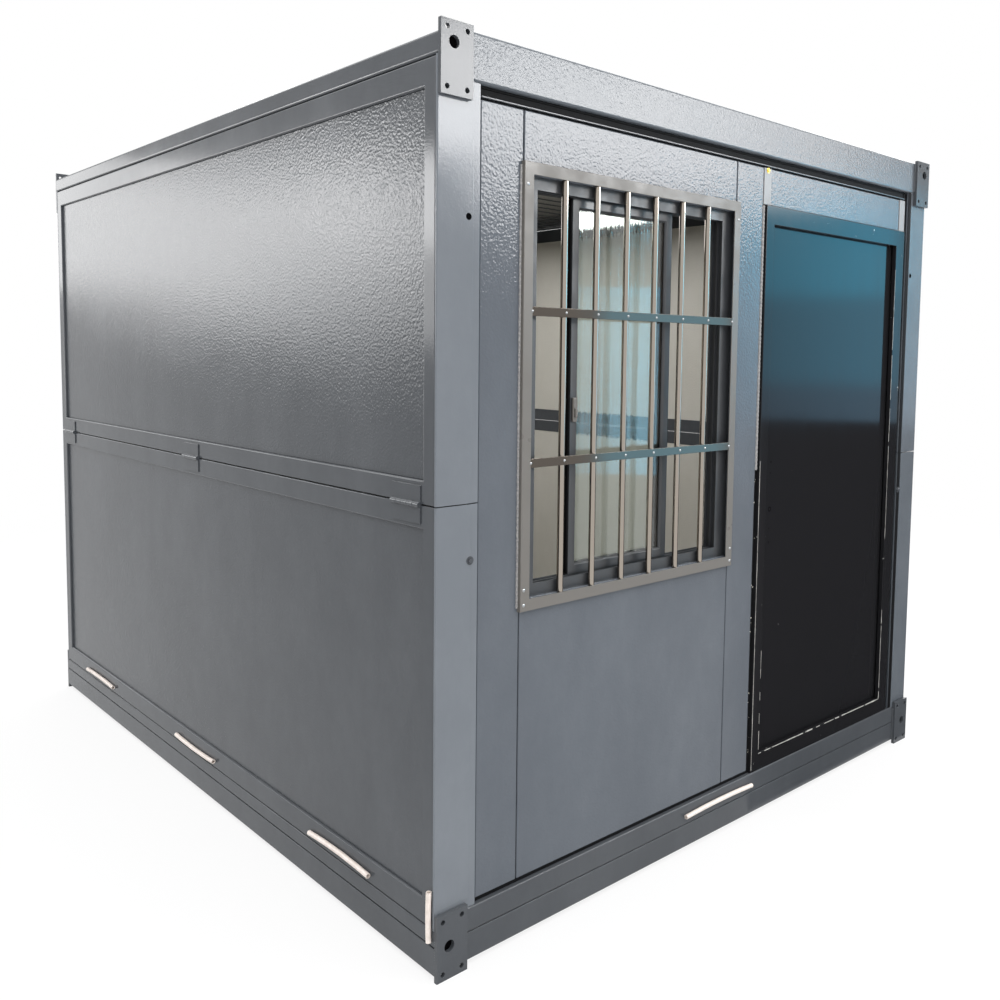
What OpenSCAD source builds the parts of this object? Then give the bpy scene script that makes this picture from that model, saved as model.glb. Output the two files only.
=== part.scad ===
// Folding container house: a steel base and roof frame, two side walls of
// hinged upper and lower leaves that carry the corner posts, an end wall with
// a barred window and a door that opens inwards, and a plain rear end wall.
// Origin: on the ground, under the middle. +X right, +Y to the rear, +Z up.

/* [Overall] */
// Width over the side walls
body_w = 2500; // [2400:10:3000]
// Length over the end frames, without the corner plates
body_l = 3000; // [2450:10:6000]
// Height from the ground to the top of the corner plates
total_h = 2450; // [2360:10:3000]

/* [Corner plates] */
// Width of a corner plate
plate_w = 100; // [80:1:120]
// Height of a corner plate
plate_h = 180; // [150:1:216]
// Thickness of a corner plate
plate_t = 12; // [8:1:14]
// Distance of each bolt hole from the plate's edges
plate_hole_inset = 19; // [16:1:24]
// Diameter of the four bolt holes in a plate
plate_hole_d = 14; // [10:1:18]
// Diameter of the large lifting hole in a plate
lift_hole_d = 32; // [24:1:38]
// Distance of the lifting hole from the outer side edge
lift_hole_side = 40; // [36:1:42]
// Distance of the lifting hole from the plate's top, on an upper plate
lift_hole_drop = 52; // [45:1:70]

/* [Base frame] */
// Height of the base beams' undersides above the ground
foot_clear = 14; // [8:1:30]
// Height of the base side beams
base_side_h = 124; // [100:1:160]
// Height of the base end beams
base_end_h = 146; // [134:1:175]
// Width of the base beams
base_beam_d = 80; // [70:1:120]
// Height of the groove along the base beams above their undersides
groove_z = 77; // [50:1:90]
// Width of the groove
groove_h = 4; // [2:1:8]
// Depth of the groove
groove_d = 5; // [2:1:8]
// Wall thickness of the beams
beam_wall = 4; // [3:0.5:6]
// Thickness of the floor deck
deck_t = 50; // [18:1:60]
// Height of the finished floor above the ground
floor_z = 150; // [130:1:200]
// Number of floor joists
joist_count = 4; // [2:1:8]
// Width of a floor joist
joist_w = 50; // [30:1:60]

/* [Roof frame] */
// Height of the roof end beams
roof_end_h = 123; // [90:1:150]
// Drop of the end beams' tops below the corner plates' tops
roof_end_drop = 8; // [4:1:20]
// Height of the roof side beams
roof_side_h = 56; // [46:1:80]
// Drop of the side beams' tops below the corner plates' tops
roof_side_drop = 28; // [22:1:45]
// Width of the roof beams
roof_beam_d = 60; // [50:1:90]
// Thickness of the roof panel
roof_panel_t = 50; // [40:1:60]
// Drop of the roof panel below the side beams' tops
roof_panel_drop = 2; // [0.5:0.5:4]
// Height of the ribs on the roof panel
roof_rib_h = 18; // [10:1:20]
// Width of a roof rib
roof_rib_w = 40; // [25:1:60]
// Number of roof ribs
roof_rib_count = 9; // [4:1:14]

/* [Corner posts] */
// Width of a corner post on the end face
post_w = 114; // [95:1:137]
// Depth of a corner post
post_d = 100; // [70:1:120]
// Wall thickness of a corner post
post_wall = 3; // [2:0.5:5]
// Thickness of the post's flange that laps the side wall
post_lap_t = 7; // [4:1:10]
// Width of the set-back lip beside the end wall
post_lip_w = 23; // [10:1:30]
// Set-back of that lip
post_lip_back = 3; // [1:1:12]
// Thickness of that lip
post_lip_t = 6; // [3:1:8]
// Distance of the post's face behind the end frames' face
post_back = 2; // [1:1:6]
// Height of the fold line between lower and upper halves
fold_z = 1252; // [1100:1:1400]
// Gap at the fold line
fold_gap = 3; // [2:0.5:5]
// Diameter of the service holes in the posts
post_hole_d = 18; // [10:1:24]
// Distance of the upper service hole from the post's inner side
post_hole_in = 6; // [4:1:15]
// Height of the upper service hole
post_hole_z = 1985; // [1700:1:2050]

/* [Side walls] */
// Thickness of a side leaf
leaf_t = 50; // [40:1:60]
// Width of a leaf's stiles
leaf_stile_w = 50; // [40:1:80]
// Width of the rail along the roof and base
leaf_outer_rail_w = 69; // [50:1:90]
// Width of the rails along the fold line
leaf_fold_rail_w = 62; // [50:1:80]
// Set-back of the panel in its frame
panel_back = 9; // [4:1:14]
// Thickness of the panel
panel_t = 32; // [20:1:36]
// Gap between a leaf and the beams
leaf_gap = 3; // [2:0.5:5]
// Length of a fold hinge
hinge_l = 128; // [80:1:160]
// Height of each hinge flap
hinge_flap_h = 50; // [30:1:56]
// Thickness of the hinge flaps
hinge_flap_t = 4; // [3:0.5:6]
// Diameter of the hinge barrels
hinge_barrel_d = 16; // [12:1:20]
// Distance of the end hinges from the leaf's ends
hinge_end = 56; // [20:1:200]

/* [End walls] */
// Thickness of the end walls
wall_t = 50; // [41:1:75]
// Set-back of the end walls behind the end frames' face
wall_back = 10; // [5:1:14]
// Width of the joint between the end wall and the left post
seal_left_w = 5; // [4:1:20]
// Width of the joint between the end wall and the right post
seal_right_w = 20; // [6:1:30]
// Height of the joint above the base beam
seal_bottom_h = 12; // [4:1:16]
// Height of the steel channel along the wall's top
top_channel_h = 30; // [20:1:45]
// How far that channel stands out from both faces of the wall
top_channel_lip = 4; // [2:1:8]
// Gap between the channel and the roof beam
top_gap = 6; // [4:1:12]
// Gap between neighbouring panels
panel_joint = 3; // [1:0.5:5]
// Set-back of the dark seals behind the wall's face
seal_back = 5; // [2:1:12]
// Thickness of the seals
seal_t = 30; // [20:1:36]

/* [Window] */
// Width of the narrow filler panel between the window panel and the left post
filler_w = 144; // [60:1:180]
// Width of the window panel
window_panel_w = 929; // [770:1:960]
// How much wider than the window panel the grille's frame is
grille_over = 18; // [0:1:30]
// Height over the window grille's frame
grille_h = 1214; // [1000:1:1300]
// Height of the grille's lower edge
grille_z = 936; // [850:1:1000]
// Width of the grille frame's members
grille_member = 33; // [25:1:45]
// How far the grille frame stands out from the wall
grille_proud = 14; // [10:1:40]
// Diameter of the vertical bars
bar_d = 19; // [14:1:21]
// Number of vertical bars
bar_count = 6; // [3:1:7]
// Height of the flat straps across the bars
strap_h = 25; // [18:1:30]
// Thickness of the straps
strap_t = 3; // [2:0.5:5]
// Height of the lower strap
strap_low_z = 1344; // [1200:1:1400]
// Height of the upper strap
strap_high_z = 1756; // [1650:1:1850]
// Width of the sliding window frame's members
sash_frame_w = 34; // [25:1:45]
// Gap between the bars and the window frame behind them
bar_frame_gap = 2; // [1:1:4]
// How far the window frame stands out inside the room
window_frame_in = 15; // [8:1:20]
// Set-back of the sliding sash behind the wall's face
sash_back = 28; // [24:1:34]
// Width of one sliding sash
sash_w = 430; // [376:1:470]
// Face width of a sash's members
sash_member = 30; // [20:1:40]
// Thickness of a sash
sash_t = 18; // [14:1:22]
// Distance of the sliding sash from the window's left edge
sash_x = 185; // [60:1:300]
// Thickness of the glass
glass_t = 5; // [4:0.5:8]

/* [Door] */
// Gap between the door frame and the right joint
door_joint_gap = 1; // [0.5:0.5:4]
// Width over the door frame
door_w = 960; // [800:1:1050]
// Height over the door frame
door_h = 2000; // [1650:1:2100]
// Width of the door frame's left member
door_left_w = 48; // [40:1:60]
// Width of the door frame's other members
door_member = 64; // [50:1:75]
// Width of the sealed joint between the wall and the door frame's left side
door_seal_w = 15; // [10:1:30]
// Width of the upright trims at the lintel's ends
trim_w = 42; // [30:1:50]
// How far the trims stand in front of the wall
trim_proud = 3; // [1:1:8]
// How far the door frame stands in front of the end wall
door_proud = 7; // [4:1:9]
// Depth of the recess in front of the leaf
door_recess = 22; // [21:1:30]
// Thickness of the door leaf
door_leaf_t = 42; // [36:1:46]
// Overlap of the leaf behind the frame's stop
door_lap = 12; // [8:1:16]
// Thickness of the frame's stop
door_stop_t = 16; // [10:1:17]
// Gap round the door leaf
door_gap = 7; // [6:0.5:10]
// Diameter of the door's hinge knuckles
knuckle_d = 18; // [16:1:22]
// Diameter of the door's hinge pins
pin_d = 10; // [8:1:12]
// Height of one hinge knuckle
knuckle_h = 50; // [40:1:70]
// Gap between the two knuckles of a hinge
knuckle_gap = 1; // [0.5:0.5:3]
// Thickness of the cap over the pin
knuckle_cap = 5; // [3:1:8]
// Radial clearance of the pin in its knuckle
pin_clearance = 0.1; // [0.05:0.01:0.1]
// Gap between the hinge knuckles and the leaf's edge
knuckle_side = 1; // [0.5:0.5:3]
// Distance of the lowest hinge from the recess's lower edge
hinge_low = 200; // [120:5:300]
// Distance of the highest hinge's foot from the recess's upper edge
hinge_high = 300; // [220:5:400]
// Width of a hinge's flap, from the pin
knuckle_flap_w = 36; // [25:1:40]
// Thickness of a hinge's flap
knuckle_flap_t = 3; // [2:0.5:4]

/* [Hose grips] */
// Outer diameter of the short hose lengths
hose_d = 15; // [12:1:20]
// Bore of the hose
hose_bore = 10; // [6:1:13]
// Length of a hose along a side wall
hose_side_l = 335; // [150:5:400]
// Height of the hoses along a side wall
hose_side_z = 166; // [152:1:185]
// Distance of the outer side hoses from the middle
hose_side_y = 1027; // [600:1:1030]
// Length of the hose on a base end beam
hose_end_l = 364; // [150:5:400]
// Height of the hose on a base end beam
hose_end_z = 122; // [110:1:140]
// Middle of the hose on a base end beam
hose_end_x = -54; // [-500:1:500]
// Length of the upright hose at a front corner
hose_corner_l = 136; // [80:1:200]
// Height of that hose's middle above the foot of the side wall
hose_corner_z = 34; // [20:1:120]

/* [Hidden] */

paint = "#4a4f56";
charcoal = "#26282b";
stainless = "#b9b6ae";
grey_alu = "#6b6f74";
cream = "#d8d2bf";
black = "#111214";

half_w = body_w / 2;
half_l = body_l / 2;
eps = 1;

// levels
base_side_top = foot_clear + base_side_h;
base_end_top = foot_clear + base_end_h;
roof_end_top = total_h - roof_end_drop;
roof_end_low = roof_end_top - roof_end_h;
roof_side_top = total_h - roof_side_drop;
roof_side_low = roof_side_top - roof_side_h;
roof_panel_low = roof_side_top - roof_panel_t - roof_panel_drop;
post_top = min(roof_side_low, roof_panel_low);

// inner room width between the posts' lips, and the end wall
wall_left = -half_w + post_w + post_lip_w + seal_left_w;
wall_right = half_w - post_w - post_lip_w - seal_right_w;
wall_front = -half_l + wall_back;
wall_low = base_end_top + seal_bottom_h;
channel_top = roof_end_low - top_gap;
wall_top = channel_top - top_channel_h;

// window: its panel stands beside the filler, and the jamb panel takes the rest
grille_w = window_panel_w + grille_over;
window_x = wall_left + filler_w + panel_joint;
window_panel_r = window_x + window_panel_w;
grille_x = window_x - grille_over / 2;
hole_x = grille_x + grille_member;
hole_w = grille_w - 2 * grille_member;
hole_z = grille_z + grille_member;
hole_h = grille_h - 2 * grille_member;
grille_front = wall_front - grille_proud;
bars_back = grille_front + strap_t + bar_d;
window_frame_front = max(wall_front, bars_back) + bar_frame_gap;

// door: its frame stands at the wall's right end
door_x = wall_right - door_joint_gap - door_w;
door_z = base_end_top;
door_frame_d = door_recess + door_leaf_t;
door_front = wall_front - door_proud;
leaf_front = door_front + door_recess;
recess_x = door_x + door_left_w;
recess_w = door_w - door_left_w - door_member;
recess_z = door_z + door_member;
recess_h = door_h - 2 * door_member;
pivot_x = recess_x + recess_w + door_lap + knuckle_d / 2 + knuckle_side;
pivot_y = leaf_front + door_leaf_t + knuckle_d / 2;

// heights of the door's hinges, as the underside of the fixed knuckle
hinge_levels = [
    recess_z + hinge_low,
    recess_z + recess_h / 2 - knuckle_h,
    recess_z + recess_h - hinge_high
];

module box(x, y, z, w, d, h) {
    translate([x, y, z]) cube([w, d, h]);
}

// draws its children at the front and again, turned, at the rear
module rear_copy() {
    rotate([0, 0, 180]) children();
}

// section of a hollow beam: depth d inwards from its outer face, and height h
module beam_section(d, h) {
    difference() {
        square([d, h]);
        translate([beam_wall, beam_wall]) square([d - 2 * beam_wall, h - 2 * beam_wall]);
    }
}

// section of a base beam: its outer wall is folded inwards to a groove
module base_section(h) {
    difference() {
        square([base_beam_d, h]);
        translate([-eps, groove_z]) square([groove_d + eps, groove_h]);
        translate([groove_d + beam_wall, beam_wall])
            square([base_beam_d - groove_d - 2 * beam_wall, h - 2 * beam_wall]);
        translate([beam_wall, beam_wall]) square([groove_d + eps, groove_z - 2 * beam_wall]);
        translate([beam_wall, groove_z + groove_h + beam_wall])
            square([groove_d + eps, h - groove_z - groove_h - 2 * beam_wall]);
    }
}

// its section carried along X at the front face, between side beams of width gap_w
module end_beam(gap_w, z) {
    translate([-half_w + gap_w, -half_l, z]) rotate([90, 0, 90])
        linear_extrude(body_w - 2 * gap_w) children();
}

// its section carried along Y at the left face, open at both ends
module side_beam(z) {
    translate([-half_w, half_l, z]) rotate([90, 0, 0]) linear_extrude(body_l) children();
}

module base_end() { color(paint) end_beam(base_beam_d, foot_clear) base_section(base_end_h); }
module base_side() { color(paint) side_beam(foot_clear) base_section(base_side_h); }

module base_front_beam() { base_end(); }
module base_rear_beam() { rear_copy() base_end(); }
module base_left_beam() { base_side(); }
module base_right_beam() { rear_copy() base_side(); }

module floor_joists() {
    span = body_l - 2 * base_beam_d;
    pitch = span / (joist_count + 1);
    low = foot_clear + beam_wall;
    color(paint) for (i = [1 : joist_count])
        box(-half_w + base_beam_d, -span / 2 + i * pitch - joist_w / 2, low,
            body_w - 2 * base_beam_d, joist_w, floor_z - deck_t - low);
}

module floor_deck() {
    color(cream)
        box(-half_w + base_beam_d, -half_l + base_beam_d, floor_z - deck_t,
            body_w - 2 * base_beam_d, body_l - 2 * base_beam_d, deck_t);
}

module roof_front_beam() {
    color(paint) end_beam(roof_beam_d, roof_end_low) beam_section(roof_beam_d, roof_end_h);
}

module roof_left_beam() {
    color(paint) side_beam(roof_side_low) beam_section(roof_beam_d, roof_side_h);
}

module roof_rear_beam() { rear_copy() roof_front_beam(); }
module roof_right_beam() { rear_copy() roof_left_beam(); }

module roof_panel() {
    w = body_w - 2 * roof_beam_d;
    l = body_l - 2 * roof_beam_d;
    z = roof_panel_low;
    pitch = l / roof_rib_count;
    color(paint) {
        box(-w / 2, -l / 2, z, w, l, roof_panel_t);
        for (i = [0 : roof_rib_count - 1])
            box(-w / 2, -l / 2 + (i + 0.5) * pitch - roof_rib_w / 2, z + roof_panel_t - eps,
                w, roof_rib_w, roof_rib_h + eps);
    }
}

// a hole along Y through a plate and what is just behind it
module plate_hole(x, z, d, behind) {
    translate([-half_w + x, -half_l + behind, z])
        rotate([90, 0, 0]) cylinder(h = plate_t + behind + eps, d = d, $fn = 48);
}

// the four bolt holes of a plate whose lower edge is at height z
module bolt_holes(z, behind) {
    for (x = [plate_hole_inset, plate_w - plate_hole_inset])
        for (h = [plate_hole_inset, plate_h - plate_hole_inset])
            plate_hole(x, z + h, plate_hole_d, behind);
}

// one corner plate at the front left, with its lifting hole at height lift_z
module corner_plate(z, lift_z) {
    difference() {
        box(-half_w, -half_l - plate_t, z, plate_w, plate_t, plate_h);
        bolt_holes(z, eps);
        plate_hole(lift_hole_side, lift_z, lift_hole_d, eps);
    }
}

module four_corners() {
    for (turn = [0, 180]) rotate([0, 0, turn]) {
        children();
        mirror([1, 0, 0]) children();
    }
}

module lower_corner_plates() {
    color(paint) four_corners() corner_plate(0, plate_h / 2);
}

module upper_corner_plates() {
    color(paint) four_corners() corner_plate(total_h - plate_h, total_h - lift_hole_drop);
}

// section of the front left post: a flange that laps the side wall, a tube, and a lip
module post_section() {
    translate([-half_w, -half_l + post_back]) difference() {
        polygon([
            [0, 0], [post_w, 0], [post_w, post_lip_back],
            [post_w + post_lip_w, post_lip_back],
            [post_w + post_lip_w, post_lip_back + post_lip_t],
            [post_w, post_lip_back + post_lip_t], [post_w, post_d],
            [leaf_t, post_d], [leaf_t, post_lap_t], [0, post_lap_t]
        ]);
        translate([leaf_t + post_wall, post_wall])
            square([post_w - leaf_t - 2 * post_wall, post_d - 2 * post_wall]);
    }
}

// the space that the beams and their ends take, which a post leaves free
module beam_envelope() {
    box(-half_w - eps, -half_l - eps, 0, body_w, base_beam_d + eps, base_side_top);
    box(-half_w + base_beam_d, -half_l - eps, 0, body_w, post_d * 2, max(base_end_top, floor_z));
    box(-half_w - eps, -half_l - eps, roof_side_low, roof_beam_d + eps, post_d * 2, total_h);
    box(-half_w + roof_beam_d - eps, -half_l - eps, roof_end_low, body_w, roof_beam_d + eps, total_h);
}

module post_lower() {
    color(paint) difference() {
        translate([0, 0, base_side_top])
            linear_extrude(fold_z - fold_gap / 2 - base_side_top) post_section();
        beam_envelope();
    }
}

module post_upper() {
    low = fold_z + fold_gap / 2;
    color(paint) difference() {
        translate([0, 0, low]) linear_extrude(post_top - low) post_section();
        beam_envelope();
        translate([-half_w + post_w - post_hole_in - post_hole_d / 2, -half_l + post_back - eps,
                   post_hole_z])
            rotate([-90, 0, 0]) cylinder(h = post_wall + 2 * eps, d = post_hole_d, $fn = 32);
    }
}

module post_front_left_lower() { post_lower(); }
module post_front_left_upper() { post_upper(); }
module post_front_right_lower() { mirror([1, 0, 0]) post_lower(); }
module post_front_right_upper() { mirror([1, 0, 0]) post_upper(); }

module rear_posts_lower() {
    rear_copy() {
        post_lower();
        mirror([1, 0, 0]) post_lower();
    }
}

module rear_posts_upper() {
    rear_copy() {
        post_upper();
        mirror([1, 0, 0]) post_upper();
    }
}

// side leaves: end_y is where a leaf's stile meets the post's flange
leaf_end_y = half_l - post_back - post_lap_t;
leaf_l = 2 * leaf_end_y;

// frame of a left leaf from z0 to z1, with rails low_w and high_w
module leaf_frame(z0, z1, low_w, high_w) {
    color(paint) difference() {
        box(-half_w, -leaf_end_y, z0, leaf_t, leaf_l, z1 - z0);
        box(-half_w - eps, -leaf_end_y + leaf_stile_w, z0 + low_w,
            leaf_t + 2 * eps, leaf_l - 2 * leaf_stile_w, z1 - z0 - low_w - high_w);
    }
}

module leaf_panel(z0, z1, low_w, high_w) {
    color(paint)
        box(-half_w + panel_back, -leaf_end_y + leaf_stile_w, z0 + low_w,
            panel_t, leaf_l - 2 * leaf_stile_w, z1 - z0 - low_w - high_w);
}

lower_z0 = base_side_top + leaf_gap;
lower_z1 = fold_z - fold_gap / 2;
upper_z0 = fold_z + fold_gap / 2;
upper_z1 = roof_side_low - leaf_gap;

module left_lower_frame() { leaf_frame(lower_z0, lower_z1, leaf_outer_rail_w, leaf_fold_rail_w); }
module left_lower_panel() { leaf_panel(lower_z0, lower_z1, leaf_outer_rail_w, leaf_fold_rail_w); }
module left_upper_frame() { leaf_frame(upper_z0, upper_z1, leaf_fold_rail_w, leaf_outer_rail_w); }
module left_upper_panel() { leaf_panel(upper_z0, upper_z1, leaf_fold_rail_w, leaf_outer_rail_w); }
module right_lower_frame() { mirror([1, 0, 0]) left_lower_frame(); }
module right_lower_panel() { mirror([1, 0, 0]) left_lower_panel(); }
module right_upper_frame() { mirror([1, 0, 0]) left_upper_frame(); }
module right_upper_panel() { mirror([1, 0, 0]) left_upper_panel(); }

// two flaps on the rails and a barrel along the fold line, centred at y
module fold_hinge(y) {
    box(-half_w - hinge_flap_t, y - hinge_l / 2, fold_z - hinge_flap_h, hinge_flap_t, hinge_l,
        2 * hinge_flap_h);
    barrel = 2 * hinge_barrel_d;
    translate([-half_w - hinge_flap_t, y + hinge_l / 2, fold_z]) rotate([90, 0, 0])
        linear_extrude(hinge_l) intersection() {
            circle(d = hinge_barrel_d, $fn = 32);
            translate([hinge_flap_t - barrel, -barrel / 2]) square([barrel, barrel]);
        }
}

module left_fold_hinges() {
    first = leaf_end_y - hinge_end - hinge_l / 2;
    color(paint) for (y = [-first, 0, first]) fold_hinge(y);
}

module right_fold_hinges() { mirror([1, 0, 0]) left_fold_hinges(); }

module wall_block(x0, x1, z0, z1) {
    color(paint) box(x0, wall_front, z0, x1 - x0, wall_t, z1 - z0);
}

jamb_right = door_x - door_seal_w;
door_top = door_z + door_h;

module wall_filler_panel() { wall_block(wall_left, window_x - panel_joint, wall_low, wall_top); }
module wall_below_window() { wall_block(window_x, window_panel_r, wall_low, hole_z); }
module wall_above_window() { wall_block(window_x, window_panel_r, hole_z + hole_h, wall_top); }
module wall_jamb_panel() { wall_block(window_panel_r + panel_joint, jamb_right, wall_low, wall_top); }

module wall_lintel_panel() {
    wall_block(jamb_right + trim_w, wall_right - trim_w, door_top, wall_top);
}

// upright steel trims at both ends of the lintel
module lintel_trims() {
    color(paint) for (x = [jamb_right, wall_right - trim_w])
        box(x, wall_front - trim_proud, door_top, trim_w, wall_t + trim_proud, wall_top - door_top);
}

module front_top_channel() {
    color(paint)
        box(wall_left, wall_front - top_channel_lip, wall_top,
            wall_right - wall_left, wall_t + 2 * top_channel_lip, top_channel_h);
}

// dark sealing strips round the front end wall and beside the door frame
module front_wall_seals() {
    left = -half_w + post_w + post_lip_w;
    y = wall_front + seal_back;
    h = channel_top - base_end_top;
    color(black) {
        box(left, y, base_end_top, seal_left_w, seal_t, h);
        box(wall_right, y, base_end_top, seal_right_w, seal_t, h);
        box(wall_left, y, channel_top, wall_right - wall_left, seal_t, top_gap);
        box(wall_left, y, base_end_top, jamb_right - wall_left, seal_t, seal_bottom_h);
        box(jamb_right, y, base_end_top, door_seal_w, seal_t, door_h);
    }
}

module rear_wall_panels() {
    left = wall_left;
    right = -wall_left;
    w = (right - left - 2 * panel_joint) / 3;
    color(paint) rear_copy() for (i = [0 : 2])
        box(left + i * (w + panel_joint), wall_front, base_end_top, w, wall_t, wall_top - base_end_top);
}

module rear_top_channel() {
    color(paint) rear_copy()
        box(wall_left, wall_front - top_channel_lip, wall_top,
            -2 * wall_left, wall_t + 2 * top_channel_lip, roof_end_low - wall_top);
}

module ring(x, y, z, w, d, h, m) {
    difference() {
        box(x, y, z, w, d, h);
        box(x + m, y - eps, z + m, w - 2 * m, d + 2 * eps, h - 2 * m);
    }
}

// its side members reach to the edges of the window panel
module window_frame() {
    y = window_frame_front;
    d = wall_front + wall_t + window_frame_in - y;
    color(grey_alu) difference() {
        box(window_x, y, hole_z, window_panel_w, d, hole_h);
        box(hole_x + sash_frame_w, y - eps, sash_low, hole_w - 2 * sash_frame_w, d + 2 * eps, sash_h);
    }
}

sash_y = wall_front + sash_back;
sash_low = hole_z + sash_frame_w;
sash_h = hole_h - 2 * sash_frame_w;

module window_sash() {
    color(grey_alu)
        ring(hole_x + sash_x, sash_y, sash_low, sash_w, sash_t, sash_h, sash_member);
}

module window_glass() {
    color("#bcd0cf", 0.35)
        box(hole_x + sash_x + sash_member, sash_y + (sash_t - glass_t) / 2, sash_low + sash_member,
            sash_w - 2 * sash_member, glass_t, sash_h - 2 * sash_member);
}

// upright round bar whose front part is let into the grille's frame
module bar(x) {
    y = bars_back - bar_d / 2;
    translate([x, y, hole_z]) cylinder(h = hole_h, d = bar_d, $fn = 24);
    intersection() {
        translate([x, y, hole_z - eps]) cylinder(h = hole_h + 2 * eps, d = bar_d, $fn = 24);
        box(x - bar_d, grille_front, hole_z - eps, 2 * bar_d, grille_proud, hole_h + 2 * eps);
    }
}

module window_grille() {
    pitch = hole_w / (bar_count + 1);
    color(stainless) {
        ring(grille_x, grille_front, grille_z, grille_w, grille_proud, grille_h, grille_member);
        for (i = [1 : bar_count]) bar(hole_x + i * pitch);
        for (z = [strap_low_z, strap_high_z])
            box(hole_x - eps, grille_front, z - strap_h / 2, hole_w + 2 * eps, strap_t, strap_h);
    }
}

// frame with a stop in front, and a rebate behind it that holds the leaf
module door_frame() {
    color(charcoal) difference() {
        box(door_x, door_front, door_z, door_w, door_frame_d, door_h);
        box(recess_x, door_front - eps, recess_z, recess_w, door_frame_d + 2 * eps, recess_h);
        box(recess_x - door_lap - door_gap, door_front + door_stop_t, recess_z - door_lap - door_gap,
            recess_w + 2 * (door_lap + door_gap), door_frame_d, recess_h + 2 * (door_lap + door_gap));
    }
}

module door_leaf() {
    color(charcoal)
        box(recess_x - door_lap, leaf_front, recess_z - door_lap,
            recess_w + 2 * door_lap, door_leaf_t, recess_h + 2 * door_lap);
}

// a hinge knuckle with its flap, which reaches to one side along X
module knuckle(flap) {
    cylinder(h = knuckle_h, d = knuckle_d, $fn = 32);
    translate([min(flap, 0), -knuckle_d / 2, 0]) cube([abs(flap), knuckle_flap_t, knuckle_h]);
}

// the fixed halves: lower knuckles on the frame, each with an upright pin
module door_hinge_pins() {
    color(stainless) for (z = hinge_levels) translate([pivot_x, pivot_y, z]) {
        knuckle(knuckle_flap_w);
        cylinder(h = 2 * knuckle_h - knuckle_cap, d = pin_d, $fn = 32);
    }
}

// the turning halves: upper knuckles on the leaf, bored for the pins
module door_hinge_knuckles() {
    color(stainless) for (z = hinge_levels)
        translate([pivot_x, pivot_y, z + knuckle_h + knuckle_gap]) difference() {
            knuckle(-knuckle_flap_w);
            translate([0, 0, -eps])
                cylinder(h = knuckle_h - knuckle_cap + eps, d = pin_d + 2 * pin_clearance, $fn = 32);
        }
}

// a short hollow hose of length l along Z, centred on the origin
module hose(l) {
    difference() {
        cylinder(h = l, d = hose_d, center = true, $fn = 24);
        cylinder(h = l + 2 * eps, d = hose_bore, center = true, $fn = 24);
    }
}

// lengths of plastic hose along the foot of the walls
module hose_grips() {
    side_x = -half_w - hose_d / 2;
    color(cream) {
        for (flip = [0, 1]) mirror([flip, 0, 0]) {
            for (y = [-hose_side_y, 0, hose_side_y])
                translate([side_x, y, hose_side_z]) rotate([90, 0, 0]) hose(hose_side_l);
            translate([side_x, -half_l + hose_d, lower_z0 + hose_corner_z])
                hose(hose_corner_l);
        }
        for (turn = [0, 180]) rotate([0, 0, turn])
            translate([hose_end_x, -half_l - hose_d / 2, hose_end_z])
                rotate([0, 90, 0]) hose(hose_end_l);
    }
}

base_front_beam();
base_rear_beam();
base_left_beam();
base_right_beam();
floor_joists();
floor_deck();
roof_front_beam();
roof_rear_beam();
roof_left_beam();
roof_right_beam();
roof_panel();
lower_corner_plates();
upper_corner_plates();
post_front_left_lower();
post_front_left_upper();
post_front_right_lower();
post_front_right_upper();
rear_posts_lower();
rear_posts_upper();
left_lower_frame();
left_lower_panel();
left_upper_frame();
left_upper_panel();
right_lower_frame();
right_lower_panel();
right_upper_frame();
right_upper_panel();
left_fold_hinges();
right_fold_hinges();
wall_filler_panel();
wall_below_window();
wall_above_window();
wall_jamb_panel();
wall_lintel_panel();
lintel_trims();
front_top_channel();
front_wall_seals();
rear_wall_panels();
rear_top_channel();
window_frame();
window_sash();
window_glass();
window_grille();
door_frame();
door_leaf();
door_hinge_pins();
door_hinge_knuckles();
hose_grips();
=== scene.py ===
# %% [markdown]
# # A folding container house
# The house is a steel base and roof frame with four corner posts. Its long sides are pairs
# of leaves hinged half way up. The front is made of sandwich panels, with a barred sliding
# window and a door that opens inwards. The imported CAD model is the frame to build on: each
# piece below takes its place from a CAD node, and stands for that node with rounder edges.

# %% Load the frame
import math

import bmesh
import bpy
import numpy as np
from mathutils import Matrix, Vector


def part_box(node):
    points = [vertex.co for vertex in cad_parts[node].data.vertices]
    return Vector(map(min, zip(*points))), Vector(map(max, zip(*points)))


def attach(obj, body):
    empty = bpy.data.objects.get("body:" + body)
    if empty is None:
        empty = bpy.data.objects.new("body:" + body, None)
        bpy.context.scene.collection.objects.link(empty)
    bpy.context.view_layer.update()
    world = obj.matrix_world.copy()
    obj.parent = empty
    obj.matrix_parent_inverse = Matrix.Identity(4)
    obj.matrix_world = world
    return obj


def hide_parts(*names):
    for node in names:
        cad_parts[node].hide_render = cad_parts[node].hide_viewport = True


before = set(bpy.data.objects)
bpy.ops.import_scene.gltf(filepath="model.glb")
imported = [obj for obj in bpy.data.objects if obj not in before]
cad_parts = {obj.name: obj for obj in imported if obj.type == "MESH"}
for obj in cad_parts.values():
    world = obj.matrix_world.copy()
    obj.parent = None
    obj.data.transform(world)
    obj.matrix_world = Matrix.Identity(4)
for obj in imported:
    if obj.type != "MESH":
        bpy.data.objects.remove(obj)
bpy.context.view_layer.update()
MM = 0.001

# %% [markdown]
# ## Shapes as arrays
# A shape here is a pair: an array of points and a list of faces. Working on whole arrays
# keeps each formula in one place. A grid of points, made by two parameters, gives quads,
# and shapes can be joined, mirrored or turned before they become a mesh.


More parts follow.
